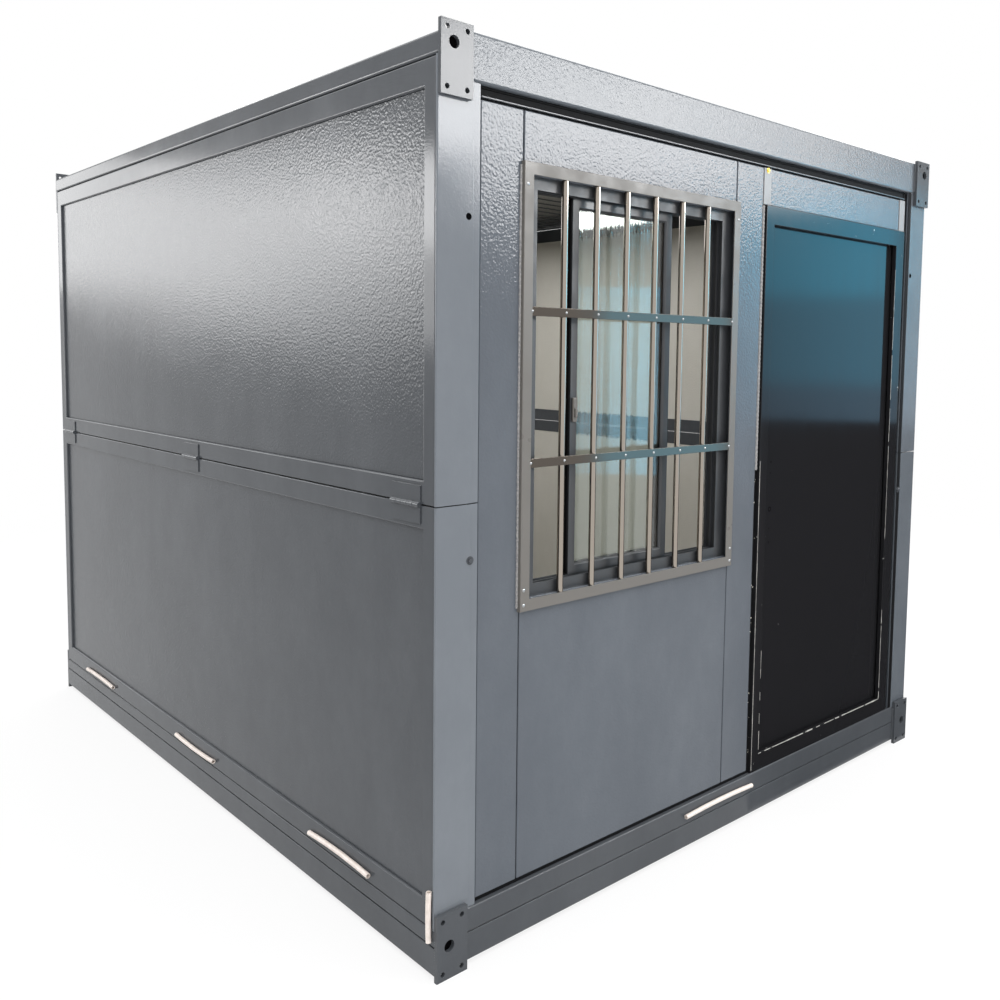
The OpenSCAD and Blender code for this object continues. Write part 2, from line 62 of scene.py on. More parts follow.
# %% A grid becomes a shape
def skin(grid, closed_rows=False, closed_columns=True, caps=True):
    """Quads between neighbours of a (rows, columns, 3) grid; caps close its two ends."""
    rows, columns = grid.shape[:2]
    number = np.arange(rows * columns).reshape(rows, columns)
    a = number if closed_rows else number[:-1]
    b = np.roll(number, -1, 0) if closed_rows else number[1:]
    if closed_columns:
        corners = (a, np.roll(a, -1, 1), np.roll(b, -1, 1), b)
    else:
        corners = (a[:, :-1], a[:, 1:], b[:, 1:], b[:, :-1])
    faces = np.stack([c.reshape(-1) for c in corners], 1).tolist()
    if caps and not closed_rows:
        faces += [number[0, ::-1].tolist(), number[-1].tolist()]
    return grid.reshape(-1, 3), faces


def joined(shapes):
    """One shape out of many: each one's faces count on from the points before it."""
    starts = np.cumsum([0] + [len(points) for points, _ in shapes])
    faces = [[v + int(start) for v in face]
             for (_, own), start in zip(shapes, starts) for face in own]
    return np.concatenate([points for points, _ in shapes]), faces


def scaled(shape, x, y, z=1):
    """A shape with its points multiplied: (-1, 1) mirrors it left to right."""
    return shape[0] * np.array([x, y, z]), shape[1]


def moved(shape, x=0.0, y=0.0, z=0.0):
    return shape[0] + np.array([x, y, z]), shape[1]


print("helpers for shapes are ready")

# %% [markdown]
# ## Rounded outlines
# Folded steel has no sharp edge: each bend is a small arc, and that arc catches the light.
# Each corner of an outline is replaced by a quadratic curve, which leaves one side at the
# distance of the bend's radius and meets the other side at the same distance.


# %% Round the corners of an outline
def rounded(corners, radius, steps=4):
    """Points (1-t)^2 A + 2t(1-t) P + t^2 B for each corner P, where A and B lie on its two
    sides at the distance radius; radius is one number or one for each corner."""
    p = np.array(corners, float)
    r = np.broadcast_to(np.asarray(radius, float), len(p))[:, None]
    back, on = np.roll(p, 1, 0) - p, np.roll(p, -1, 0) - p
    back_length = np.linalg.norm(back, axis=1, keepdims=True)
    on_length = np.linalg.norm(on, axis=1, keepdims=True)
    r = np.minimum(r, 0.45 * np.minimum(back_length, on_length))
    a, b = p + back / back_length * r, p + on / on_length * r
    t = np.linspace(0, 1, steps + 1)[None, :, None]
    curve = (1 - t) ** 2 * a[:, None] + 2 * t * (1 - t) * p[:, None] + t**2 * b[:, None]
    return curve.reshape(-1, 2)


def box_corners(w, h):
    return [(0, 0), (w, 0), (w, h), (0, h)]


# %% [markdown]
# ## Three ways to carry an outline
# A beam or a post is an outline carried along a straight line. A door or window frame is
# an outline carried round a rectangle, mitred at the corners. A flat panel or plate is a
# rounded rectangle that shrinks a little at both ends, so that every edge is rounded.


# %% Beams, frames, slabs, tubes and turned parts
AXES = {"x": (0, 1, 2), "y": (1, 0, 2), "z": (2, 0, 1)}


def carried(outline, axis, low, high):
    """The outline (u, v) at both ends of a line along an axis; u and v are the others."""
    along, u, v = AXES[axis]
    stations = np.array([low, high])
    grid = np.empty((len(stations), len(outline), 3))
    grid[..., along] = stations[:, None]
    grid[..., u] = outline[:, 0]
    grid[..., v] = outline[:, 1]
    return skin(grid)


def slab(low, high, radius=2 * MM, axis="z", steps=3):
    """A box with round edges: a rounded rectangle, drawn in at both ends by
    radius (1 - sin a) at the depth radius (1 - cos a)."""
    low, high = np.array(low, float), np.array(high, float)
    along, u, v = AXES[axis]
    radius = min(radius, 0.49 * float((high - low).min()))
    turn = np.linspace(0.25, math.pi / 2, steps + 1)
    inset = radius * (1 - np.sin(turn))
    depth = radius * (1 - np.cos(turn))
    inset = np.concatenate([inset, inset[::-1]])
    place = np.concatenate([low[along] + depth, high[along] - depth[::-1]])
    quarter = np.repeat(np.arange(4), steps + 1) * math.pi / 2
    a = quarter + np.tile(np.linspace(0, math.pi / 2, steps + 1), 4)
    side = np.stack([np.sign(np.cos(quarter + 0.7)), np.sign(np.sin(quarter + 0.7))], 1)
    half = np.array([high[u] - low[u], high[v] - low[v]]) / 2
    middle = np.array([high[u] + low[u], high[v] + low[v]]) / 2
    centre = middle + side * (half - radius)
    grid = np.empty((len(place), len(a), 3))
    round_r = (radius - inset)[:, None]
    grid[..., along] = place[:, None]
    grid[..., u] = centre[:, 0] + round_r * np.cos(a)
    grid[..., v] = centre[:, 1] + round_r * np.sin(a)
    return skin(grid)


def framed(low, high, widths, outline, depth_axis="y", nominal=40 * MM):
    """An outline carried round a rectangle. Its points are (inwards, depth): those past
    half of nominal are measured from the inner edge, so sides may differ in width.
    widths are those of the left, lower, right and upper sides."""
    low, high = np.array(low, float), np.array(high, float)
    d = AXES[depth_axis][0]
    u = 0 if d == 1 else 1
    inner = outline[:, 0] > nominal / 2
    left, lower, right, upper = [np.where(inner, w + outline[:, 0] - nominal, outline[:, 0])
                                 for w in widths]
    us = np.stack([low[u] + left, high[u] - right, high[u] - right, low[u] + left])
    vs = np.stack([low[2] + lower, low[2] + lower, high[2] - upper, high[2] - upper])
    grid = np.empty((4, len(outline), 3))
    grid[..., u], grid[..., 2] = us, vs
    grid[..., d] = outline[:, 1]
    return skin(grid, closed_rows=True)


def tube(path, radius, bore=0.0, sides=20):
    """Circles round the points of a path. With a bore, the circles run on, back along the
    inside, so the surface closes on itself at both rims."""
    path = np.array(path, float)
    forward = np.gradient(path, axis=0)
    forward /= np.linalg.norm(forward, axis=1, keepdims=True)
    aside = np.array([0.0, 0, 1]) if abs(forward[0, 2]) < 0.9 else np.array([1.0, 0, 0])
    u = np.cross(forward, aside)
    u /= np.linalg.norm(u, axis=1, keepdims=True)
    v = np.cross(forward, u)
    a = np.linspace(0, 2 * math.pi, sides, endpoint=False)
    circle = np.cos(a)[None, :, None] * u[:, None] + np.sin(a)[None, :, None] * v[:, None]
    r = np.broadcast_to(np.asarray(radius, float), len(path))[:, None, None]
    outer = path[:, None] + r * circle
    if not bore:
        return skin(outer)
    inner = (path[:, None] + bore * circle)[::-1]
    return skin(np.concatenate([outer, inner]), closed_rows=True)


def turned(profile, centre, axis="z", sides=24):
    """A profile of (radius, distance) spun round an axis through centre."""
    along, u, v = AXES[axis]
    profile = np.array(profile, float)
    a = np.linspace(0, 2 * math.pi, sides, endpoint=False)
    grid = np.empty((len(profile), sides, 3))
    grid[..., along] = centre[along] + profile[:, 1:2]
    grid[..., u] = centre[u] + profile[:, :1] * np.cos(a)
    grid[..., v] = centre[v] + profile[:, :1] * np.sin(a)
    return skin(grid)


print("ways to carry an outline: carried, slab, framed, tube, turned")

# %% [markdown]
# ## From a shape to a piece
# A piece is a mesh object that rides on a body of the frame. Doubles are merged and the
# normals are worked out again, because a mirrored shape comes out inside out. Smooth
# shading is kept off every edge sharper than 30 degrees. Weighting the normals by the area
# of the faces keeps a wide flat face a true mirror, and bends only its rounded edges.


def new_object(name, data):
    thing = bpy.data.objects.new(name, data)
    bpy.context.scene.collection.objects.link(thing)
    return thing


def new_mesh(name, shape, solid=True):
    """A mesh of a shape. A solid one has its doubles merged and its normals turned out."""
    points, faces = shape
    mesh = bpy.data.meshes.new(name)
    mesh.from_pydata(points.tolist(), [], faces)
    if solid:
        work = bmesh.new()
        work.from_mesh(mesh)
        bmesh.ops.remove_doubles(work, verts=work.verts, dist=1e-6)
        bmesh.ops.recalc_face_normals(work, faces=work.faces)
        work.to_mesh(mesh)
        work.free()
    return mesh


def piece(name, shape, material, body="house", stands_for=()):
    mesh = new_mesh(name, shape)
    mesh.polygons.foreach_set("use_smooth", np.ones(len(mesh.polygons), bool))
    mesh.set_sharp_from_angle(angle=math.radians(30))
    mesh.materials.append(material)
    thing = new_object(name, mesh)
    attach(thing, body)
    if stands_for:
        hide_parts(*stands_for)
    flat = thing.modifiers.new("flat_faces_stay_flat", "WEIGHTED_NORMAL")
    flat.mode, flat.weight, flat.keep_sharp = "FACE_AREA", 100, True
    return thing


def pair(name, node, shape, material, sides=("left", "right"), flip=(-1, 1)):
    """A painted shape and its mirror image; {} in the names is filled with the side."""
    for side, signs in zip(sides, ((1, 1), flip)):
        piece(name.format(side), scaled(shape, *signs), material,
              stands_for=[node.format(side)])


def finish_node(node, material):
    """A CAD node whose shape is right keeps its mesh and gets a better material."""
    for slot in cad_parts[node].material_slots:
        slot.material = material


# %% [markdown]
# ## The camera
# The view is from the front left corner, at eye height. The camera's place, its heading
# and its lens come first, because the cards for the gloss are set out from the mirrored
# eye later. Heading is the turn from +Y towards +X, and pitch is the tilt above level.

# %% Camera
EYE = (-2.6853, -3.4737, 1.6404)
HEADING, PITCH, ROLL = (math.radians(a) for a in (43.06, -4.47, 0.80))
ahead = np.array([math.sin(HEADING) * math.cos(PITCH), math.cos(HEADING) * math.cos(PITCH),
                  math.sin(PITCH)])
level = np.array([math.cos(HEADING), -math.sin(HEADING), 0])
above = np.cross(level, ahead)
right = math.cos(ROLL) * level + math.sin(ROLL) * above
up = math.cos(ROLL) * above - math.sin(ROLL) * level
camera_data = bpy.data.cameras.new("camera")
camera_data.lens, camera_data.sensor_width = 35.046, 36.0
camera_data.shift_x, camera_data.shift_y = -0.0562, -0.0693
camera_data.clip_start, camera_data.clip_end = 0.05, 200
camera = new_object("camera", camera_data)
matrix = np.identity(4)
matrix[:3, 0], matrix[:3, 1], matrix[:3, 2], matrix[:3, 3] = right, up, -ahead, EYE
camera.matrix_world = Matrix(matrix.tolist())
bpy.context.scene.camera = camera
bpy.context.scene.view_settings.view_transform = "Standard"
print("camera at", EYE)

# %% [markdown]
# ## Materials from small steps
# One function adds a node, sets its values and joins its inputs. Another turns a colour
# that is written as on a paint card, sRGB hex, to the linear numbers that shaders use.


# %% Colour and node helpers
def colour(code):
    """sRGB hex to linear: c / 12.92 near black, else ((c + 0.055) / 1.055) ^ 2.4."""
    c = np.array([int(code[i : i + 2], 16) for i in (1, 3, 5)]) / 255
    linear = np.where(c <= 0.04045, c / 12.92, ((c + 0.055) / 1.055) ** 2.4)
    return (*linear.tolist(), 1.0)


def add(tree, kind, inputs=None, **settings):
    """Adds a node. An input's value is a number, a colour or another node's output."""
    node = tree.nodes.new(kind)
    for key, value in settings.items():
        setattr(node, key, value)
    for key, value in (inputs or {}).items():
        if isinstance(value, bpy.types.NodeSocket):
            tree.links.new(value, node.inputs[key])
        else:
            node.inputs[key].default_value = value
    return node


def new_material(name):
    """A material with a Principled shader, and where on the object the point is."""
    material = bpy.data.materials.new(name)
    material.use_nodes = True
    tree = material.node_tree
    shader = tree.nodes["Principled BSDF"]
    place = add(tree, "ShaderNodeTexCoord").outputs["Object"]
    return material, tree, shader, place


def ramp(tree, factor, stops):
    """A Color Ramp whose stops are (position, linear colour)."""
    node = add(tree, "ShaderNodeValToRGB", {"Fac": factor})
    elements = node.color_ramp.elements
    for element, (position, value) in zip((elements[0], elements[1]), (stops[0], stops[-1])):
        element.position, element.color = position, value
    for position, value in stops[1:-1]:
        elements.new(position).color = value
    return node.outputs["Color"]


def grey(value):
    return (value, value, value, 1.0)


def noise(tree, place, scale, detail=2.0, roughness=0.5):
    """Scale is in waves per metre, so one over a wavelength."""
    return add(tree, "ShaderNodeTexNoise", {"Vector": place, "Scale": scale, "Detail": detail,
                                            "Roughness": roughness}).outputs["Fac"]


def stretched(tree, place, scale):
    return add(tree, "ShaderNodeMapping", {"Vector": place, "Scale": scale}).outputs[0]


def relief(tree, height, strength, distance, **more):
    """A Bump node; distance is the true height of its relief."""
    settings = {"invert": True} if more.pop("sunk", False) else {}
    return add(tree, "ShaderNodeBump", {"Height": height, "Strength": strength,
                                        "Distance": distance, **more}, **settings).outputs[0]


def spread(tree, value, to_low, to_high, low=0.0, high=1.0):
    """Maps the span low to high onto to_low to to_high."""
    return add(tree, "ShaderNodeMapRange", {"Value": value, "From Min": low, "From Max": high,
                                            "To Min": to_low, "To Max": to_high}).outputs[0]


def mixed_colour(tree, factor, first, second):
    """Sockets 6, 7 and 2 of a Mix node are the ones for colours."""
    return add(tree, "ShaderNodeMix", {0: factor, 6: first, 7: second},
               data_type="RGBA").outputs[2]


def set_shader(tree, shader, **values):
    """Underscores in a name stand for spaces: Base_Color=..., Roughness=..."""
    for key, value in values.items():
        socket = shader.inputs[key.replace("_", " ")]
        if isinstance(value, bpy.types.NodeSocket):
            tree.links.new(value, socket)
        else:
            socket.default_value = value


# %% [markdown]
# ### Gloss alkyd paint on steel
# The frame is sprayed with a gloss enamel in anthracite. The eye sees three things: a
# faint orange peel with waves of about 6 mm, thin sheet that is never quite flat over
# 400 mm, and a film of dust and wiping marks that takes the edge off the gloss in patches.
# The dielectric shader does this best, with a clear IOR of 1.5 and patchy roughness.

# %% Gloss paint, plain and on embossed sheet
PAINT, PAINT_WORN = "#474a4e", "#4f5256"
PEEL_WAVE, SHEET_WAVE, EMBOSS_WAVE, PATCH_WAVE = 6 * MM, 0.4, 7 * MM, 0.35


def gloss_paint(name, base=PAINT, paler_marks=PAINT_WORN, rough=(0.12, 0.17), emboss=0.0, peel=0.15,
                shine=0.2):
    """shine is the specular level: the film of dust takes away part of a clean coat's 0.5."""
    material, tree, shader, place = new_material(name)
    patches = noise(tree, place, 1 / PATCH_WAVE, 6.0, 0.62)
    wipes = noise(tree, stretched(tree, place, (5.0, 5.0, 2.4)), 1.0, 5.0, 0.7)
    both = add(tree, "ShaderNodeMath", {0: patches, 1: wipes}, operation="MULTIPLY")
    mask = ramp(tree, both.outputs[0], [(0.16, grey(0)), (0.42, grey(1))])
    normal = relief(tree, noise(tree, place, 1 / SHEET_WAVE, 1.0), 0.12, 6 * MM)
    normal = relief(tree, noise(tree, place, 1 / PEEL_WAVE), peel, 0.6 * MM, Normal=normal)
    if emboss:
        cells = add(tree, "ShaderNodeTexVoronoi", {"Vector": place, "Scale": 1 / EMBOSS_WAVE},
                    feature="SMOOTH_F1")
        hammered = add(tree, "ShaderNodeMath", {0: cells.outputs["Distance"],
                                                1: noise(tree, place, 1 / EMBOSS_WAVE, 3.0)},
                       operation="ADD")
        normal = relief(tree, hammered.outputs[0], emboss, 2 * MM, Normal=normal)
    set_shader(tree, shader, Base_Color=mixed_colour(tree, mask, colour(base), colour(paler_marks)),
               Roughness=spread(tree, mask, *rough), IOR=1.52, Specular_IOR_Level=shine,
               Normal=normal)
    return material


steel_paint = gloss_paint("gloss_alkyd_paint_sprayed_on_steel")
# the same gloss paint in two lighter greys: one for the left and rear posts, one for the roof end
# beams and the right post
post_paint = gloss_paint("gloss_alkyd_paint_lighter_grey", "#6b7076", "#73787e", (0.1, 0.14),
                         peel=0.25)
beam_paint = gloss_paint("gloss_alkyd_paint_mid_grey", "#585d63", "#62676d", (0.14, 0.22), 0.2)
embossed_paint = gloss_paint("coated_sheet_stucco_embossed", rough=(0.14, 0.2), emboss=0.3)
panel_paint = gloss_paint("coated_sheet_lightly_embossed", "#575c63", "#5f646b", (0.1, 0.14),
                          0.24)
weld_paint = gloss_paint("painted_weld_metal", rough=(0.2, 0.4), peel=0.5)
lining_paint = gloss_paint("cream_coated_sheet_embossed", base="#c9c6bd", paler_marks="#d0cdc5",
                           rough=(0.4, 0.55), emboss=0.4)
print("paints mixed:", [m.name for m in (steel_paint, embossed_paint, panel_paint)])

# %% [markdown]
# ### The door's satin charcoal
# The door set is dip-coated in a dark satin paint. It keeps long upright smears from the
# cloth, and on its edges the coat has chipped to the pale primer beneath.

# %% Charcoal door paint
CHARCOAL, PRIMER = "#1e1e20", "#b9b8b4"


FLAKE_WAVE, SMEAR_SCALE = 28 * MM, (60.0, 60.0, 1.2)


def charcoal_paint(name, chips):
    """chips is the share of the surface that has lost its coat."""
    material, tree, shader, place = new_material(name)
    smears = noise(tree, stretched(tree, place, SMEAR_SCALE), 1.0, 4.0)
    flakes = noise(tree, place, 1 / FLAKE_WAVE, 5.0, 0.68)
    bare = ramp(tree, flakes, [(1 - chips - 0.01, grey(0)), (1 - chips, grey(1))])
    normal = relief(tree, noise(tree, place, 1 / 0.3, 1.0), 0.1, 4 * MM)
    normal = relief(tree, bare, 0.4, 0.3 * MM, Normal=normal, sunk=True)
    set_shader(tree, shader, Base_Color=mixed_colour(tree, bare, colour(CHARCOAL), colour(PRIMER)),
               Roughness=spread(tree, smears, 0.1, 0.13, 0.3, 0.7), IOR=1.5,
               Specular_IOR_Level=0.1, Normal=normal)
    return material


door_paint = charcoal_paint("satin_charcoal_paint_dipped", 0.24)
frame_paint = charcoal_paint("satin_charcoal_paint_on_pressed_steel", 0.29)
print("door paints:", door_paint.name, "and", frame_paint.name)

# %% [markdown]
# ### Bare metals
# The window bars are polished stainless tube: nearly a mirror, a little warm, drawn along
# its length. The sliding window is powder-coated aluminium, matt with a fine texture. The
# bolts are zinc plated and passivated yellow.


# %% Metals
def metal(name, code, rough, drawn=(1, 1, 1), wave=2 * MM, bump=0.1, metallic=1.0, shine=0.5):
    """Noise stretched by the weights in drawn gives the marks of drawing or plating."""
    material, tree, shader, place = new_material(name)
    scale = tuple(float(d) / wave for d in drawn)
    lines = noise(tree, stretched(tree, place, scale), 1.0, 4.0)
    clouds = noise(tree, place, 1 / 0.08, 3.0)
    set_shader(tree, shader, Base_Color=colour(code), Metallic=metallic, Specular_IOR_Level=shine,
               Roughness=spread(tree, clouds, rough * 0.7, rough * 1.4, 0.3, 0.7),
               Normal=relief(tree, lines, bump, 0.2 * MM))
    return material


bar_steel = metal("stainless_steel_drawn_and_polished", "#a79e94", 0.09, drawn=(1, 1, 0.02))
flat_steel = metal("stainless_steel_flat_polished", "#5e5852", 0.07, drawn=(0.02, 1, 1))
grille_steel = metal("steel_angle_satin_lacquered", "#6a6763", 0.36, (0.3, 1, 0.3), 2 * MM, 0.15,
                     0.0, 0.3)
hinge_steel = metal("steel_zinc_plated", "#a9abad", 0.35)
yellow_zinc = metal("steel_yellow_passivated", "#c9a94e", 0.35)
aluminium = metal("aluminium_powder_coated", "#36383b", 0.42, wave=1 * MM, bump=0.25, metallic=0.0)
# the lintel trims are grey paint like the wall; this paler grey is painted sheen for the bright
# light they reflect
trim_grey_with_painted_sheen = metal("grey_paint_with_painted_sheen", "#8f9193", 0.4, (1, 1, 0.05), 2 * MM, 0.2, 0.0,
                     0.2)
print("metals:", [m.name for m in (bar_steel, flat_steel, hinge_steel, aluminium)])

# %% [markdown]
# ### Glass, rubber, hose and foam
# Float glass is clear with a faint green. The seals are extruded rubber, black and dull.
# The hose lengths are soft cream plastic. Foam and sealant are pale, lumpy and matt.


# %% Soft and clear materials
def plain(name, code, rough, wave, bump, other=None, depth=0.5 * MM, shine=0.5):
    """Two near colours mixed by a noise of one wavelength, which also gives the relief."""
    material, tree, shader, place = new_material(name)
    lumps = noise(tree, place, 1 / wave, 4.0, 0.6)
    tint = ramp(tree, lumps, [(0.35, colour(code)), (0.68, colour(other or code))])
    set_shader(tree, shader, Base_Color=tint, Roughness=rough, Specular_IOR_Level=shine,
               Normal=relief(tree, lumps, bump, depth))
    return material


# the seals' black rubber, also used as painted shade in the joints by the roof rail and the right
# post
rubber_and_shade_black = plain("rubber_extruded_and_painted_shade", "#101011", 0.6, 8 * MM, 0.2, "#18181a", shine=0.06)
pile = plain("brush_pile_seal", "#0d0d0e", 0.9, 1.5 * MM, 0.8, "#19191b", shine=0.03)
hose_plastic = plain("soft_plastic_hose_extruded", "#d9cdc4", 0.38, 20 * MM, 0.15, "#e6dcd5")
sealant = plain("silicone_sealant_gunned", "#77777a", 0.4, 6 * MM, 0.6, "#a5a3a0", 1 * MM)
foam = plain("polyurethane_foam_cured", "#d9d4c4", 0.85, 4 * MM, 0.9, "#efebe0", 2 * MM)
floor_vinyl = plain("vinyl_sheet_on_cement_board", "#6f6d69", 0.45, 30 * MM, 0.1, "#7d7b76")
# black for painted shade inside the holes; the black cloth that darkens reflections takes it too
hole_shade_and_cloth_black = plain("black_painted_hole_shade_and_cloth", "#0a0a0b", 0.9, 5 * MM, 0.1, shine=0.0)
# pale primer for worn paint, also used as painted highlight on the door's lit edges
primer_and_edge_highlight = plain("worn_primer_and_painted_edge_highlight", "#a3a19c", 0.5, 4 * MM, 0.5, "#d0cec8")

FILM_CREASE = 18 * MM
float_glass, tree, shader, place = new_material("float_glass_polished")
creases = stretched(tree, place, (1 / FILM_CREASE, 1 / FILM_CREASE, 0.8))
set_shader(tree, shader, Base_Color=colour("#eef2ef"), Roughness=0.0, IOR=1.5,
           Transmission_Weight=1.0,
           Normal=relief(tree, noise(tree, creases, 1.0, 3.0, 0.6), 0.35, 2 * MM))
print("materials:", len(bpy.data.materials))

# %% [markdown]
# ## The base frame
# Four folded beams stand between the corner plates. Each has a groove along its outer
# face, where two folded halves meet. The end beams are a little taller than the side
# beams. An outline with the groove in it, carried along a line, gives both.

# %% Base beams
GROOVE_Z, GROOVE_H, GROOVE_D = 77 * MM, 4 * MM, 5 * MM
FOLD_R = 5 * MM


def base_outline(low, high):
    """The beam's section as (inwards, up) from its outer face, with the groove cut in."""
    d, h = high[0] - low[0], high[1] - low[1]
    foot, top = GROOVE_Z, GROOVE_Z + GROOVE_H
    corners = [(0, 0), (d, 0), (d, h), (0, h), (0, top), (GROOVE_D, top), (GROOVE_D, foot),
               (0, foot)]
    radii = [FOLD_R, FOLD_R, FOLD_R, FOLD_R, 2.5 * MM, 1 * MM, 1 * MM, 2.5 * MM]
    return rounded(corners, radii) + np.array([low[0], low[1]])


low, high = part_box("base_left_beam")
side_beam = carried(base_outline((low.x, low.z), (high.x, high.z)), "y", low.y, high.y)
pair("base_beam_{}", "base_{}_beam", side_beam, steel_paint)
low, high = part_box("base_front_beam")
end_beam = carried(base_outline((low.y, low.z), (high.y, high.z)), "x", low.x, high.x)
pair("base_beam_{}", "base_{}_beam", end_beam, steel_paint, ("front", "rear"), (1, -1))
finish_node("floor_joists", steel_paint)
finish_node("floor_deck", floor_vinyl)
BODY_LEFT, BODY_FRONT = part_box("base_left_beam")[0].x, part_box("base_left_beam")[0].y
print("base beams:", round(2 * -BODY_LEFT, 3), "by", round(2 * -BODY_FRONT, 3), "m")

# %% [markdown]
# ## The roof frame and roof sheet
# The roof beams are box sections with rounder folds. The roof is a sandwich panel: its
# outer skin has raised ribs across the house, and its inner skin, the ceiling, has many
# small ribs. A saw of sloped ribs is one outline, carried from side to side.

# %% Roof beams
ROOF_R = 8 * MM


def box_outline(low, high, radius):
    return rounded(box_corners(high[0] - low[0], high[1] - low[1]), radius) + np.array(low)


low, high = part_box("roof_left_beam")
roof_side = carried(box_outline((low.x, low.z), (high.x, high.z), ROOF_R), "y", low.y, high.y)
pair("roof_beam_{}", "roof_{}_beam", roof_side, steel_paint)
low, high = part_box("roof_front_beam")
roof_end = carried(box_outline((low.y, low.z), (high.y, high.z), ROOF_R), "x", low.x, high.x)
pair("roof_beam_{}", "roof_{}_beam", roof_end, beam_paint, ("front", "rear"), (1, -1))
ROOF_END_LOW = low.z
print("the front roof beam's lower side is at", round(ROOF_END_LOW, 3), "m")

# %% Roof sheet
RIB_COUNT, RIB_TOP, RIB_FOOT, RIB_H = 9, 34 * MM, 64 * MM, 18 * MM
CEILING_PITCH, CEILING_RIB = 100 * MM, 6 * MM
low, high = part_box("roof_panel")
sheet_top = high.z - RIB_H
pitch = (high.y - low.y) / RIB_COUNT
middles = low.y + pitch * (np.arange(RIB_COUNT) + 0.5)
across = np.array([-RIB_FOOT, -RIB_TOP, RIB_TOP, RIB_FOOT]) / 2
rib_y = (middles[:, None] + across).reshape(-1)
rib_z = np.tile([sheet_top, high.z, high.z, sheet_top], RIB_COUNT)
count = int((high.y - low.y) / CEILING_PITCH)
seat = high.y - CEILING_PITCH * (np.arange(count) + 0.5)
notch = np.array([12, 8, -8, -12]) * MM
low_y = (seat[:, None] + notch).reshape(-1)
low_z = np.tile([low.z, low.z + CEILING_RIB, low.z + CEILING_RIB, low.z], count)
outline = np.concatenate([
    [(low.y, low.z), (low.y, sheet_top)], np.stack([rib_y, rib_z], 1),
    [(high.y, sheet_top), (high.y, low.z)], np.stack([low_y, low_z], 1)])
roof_sheet = carried(rounded(outline, 2 * MM, 2), "x", low.x, high.x)
piece("roof_sheet", roof_sheet, steel_paint, stands_for=["roof_panel"])
print("roof sheet with", RIB_COUNT, "ribs")

# %% [markdown]
# ## Corner plates and their welds
# The plates are flat steel with four bolt holes and one large hole for a hook. Their CAD
# shape is right, with true holes, so it stays. A weld bead runs where a plate meets a
# beam: a row of overlapping drops, that is, a tube whose radius rises and falls.

# %% Weld beads
for node in ("lower_corner_plates", "upper_corner_plates"):
    finish_node(node, steel_paint)


def bead(start, end, radius=4 * MM, drop=7 * MM):
    """A tube of radius (1 + 0.18 |sin(pi s / drop)|) along a straight line of length s."""
    start, end = np.array(start, float), np.array(end, float)
    length = np.linalg.norm(end - start)
    s = np.linspace(0, length, max(6, int(length / drop * 4)))
    path = start + (end - start) * (s / length)[:, None]
    swell = radius * (0.85 + 0.3 * np.abs(np.sin(math.pi * s / drop)))
    return tube(path, swell, sides=8)


def four_corners(shapes):
    """The same shapes at all four corners, by mirroring them in both directions."""
    return joined([scaled(s, x, y) for s in shapes for x in (1, -1) for y in (1, -1)])


plate_high, top_high = (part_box(f"{level}_corner_plates")[1] for level in ("lower", "upper"))
PLATE_W = 100 * MM
face_y = BODY_FRONT - 1 * MM
inner_x, outer_x = BODY_LEFT + PLATE_W + 1 * MM, BODY_LEFT + 3 * MM
base_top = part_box("base_front_beam")[1].z
# each weld: its x, where it starts, where it ends, and the radius of its bead
WELDS = ((inner_x, 20 * MM, base_top - 8 * MM, 4 * MM),
         (inner_x, ROOF_END_LOW + 6 * MM, top_high.z - 12 * MM, 4 * MM),
         (outer_x, 24 * MM, 132 * MM, 3 * MM),
         (outer_x, 2372 * MM, 2418 * MM, 3 * MM))
beads = four_corners([bead((x, face_y, z0), (x, face_y, z1), r) for x, z0, z1, r in WELDS])
piece("plate_weld_beads", beads, weld_paint)
print("weld beads:", 4 * len(WELDS))

# %% Black discs behind the hook holes: painted shade
HOOK_R, HOOK_X, HOOK_DROP = 16.5 * MM, 40 * MM, 52 * MM
mouths = [turned([(HOOK_R, 0), (HOOK_R, -0.6 * MM), (1e-5, -0.6 * MM)],
                 (BODY_LEFT + HOOK_X, BODY_FRONT, z), "y", 32)
          for z in (plate_high.z / 2, top_high.z - HOOK_DROP)]

piece("hook_hole_painted_shade", four_corners(mouths), hole_shade_and_cloth_black)

# %% [markdown]
# ## Corner posts
# Each post is folded from one sheet: a flange that laps the side wall, a box section, and
# a narrow lip that is set back beside the end wall. It is cut at the fold line, because
# its lower and upper halves are welded to the side leaves. The rounded folds make the
# bright upright lines of the house. A service hole goes through the face of each post.

# %% Posts
LIP_W, LIP_BACK, LIP_T, LAP_T, LEAF_T = 23 * MM, 3 * MM, 6 * MM, 7 * MM, 50 * MM
low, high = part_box("post_front_left_lower")
POST_W, POST_D = high.x - low.x - LIP_W, high.y - low.y
post_corners = [
    (0, 0), (POST_W, 0), (POST_W, LIP_BACK), (POST_W + LIP_W, LIP_BACK),
    (POST_W + LIP_W, LIP_BACK + LIP_T), (POST_W, LIP_BACK + LIP_T), (POST_W, POST_D),
    (LEAF_T, POST_D), (LEAF_T, LAP_T), (0, LAP_T)]
post_radii = np.array([5, 1.4, 1.2, 1.4, 1.4, 1, 5, 5, 1, 1.5]) * MM
post_outline = rounded(post_corners, post_radii) + np.array([low.x, low.y])
lower_post = carried(post_outline, "z", low.z, high.z)
low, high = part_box("post_front_left_upper")
upper_post = carried(post_outline, "z", low.z, high.z)


def with_hole(thing, centre, radius, depth):
    """Cuts a round hole along Y: a boolean with a turned plug, applied to the mesh."""
    plug = new_object("plug", new_mesh("plug", turned([(radius, -depth), (radius, depth)],
                                                      centre, "y", 32)))
    cut = thing.modifiers.new("hole", "BOOLEAN")
    cut.object, cut.operation, cut.solver = plug, "DIFFERENCE", "EXACT"
    bpy.context.view_layer.update()
    solid = thing.evaluated_get(bpy.context.evaluated_depsgraph_get())
    mesh = bpy.data.meshes.new_from_object(solid)
    thing.modifiers.remove(cut)
    thing.data = mesh
    bpy.data.objects.remove(plug)


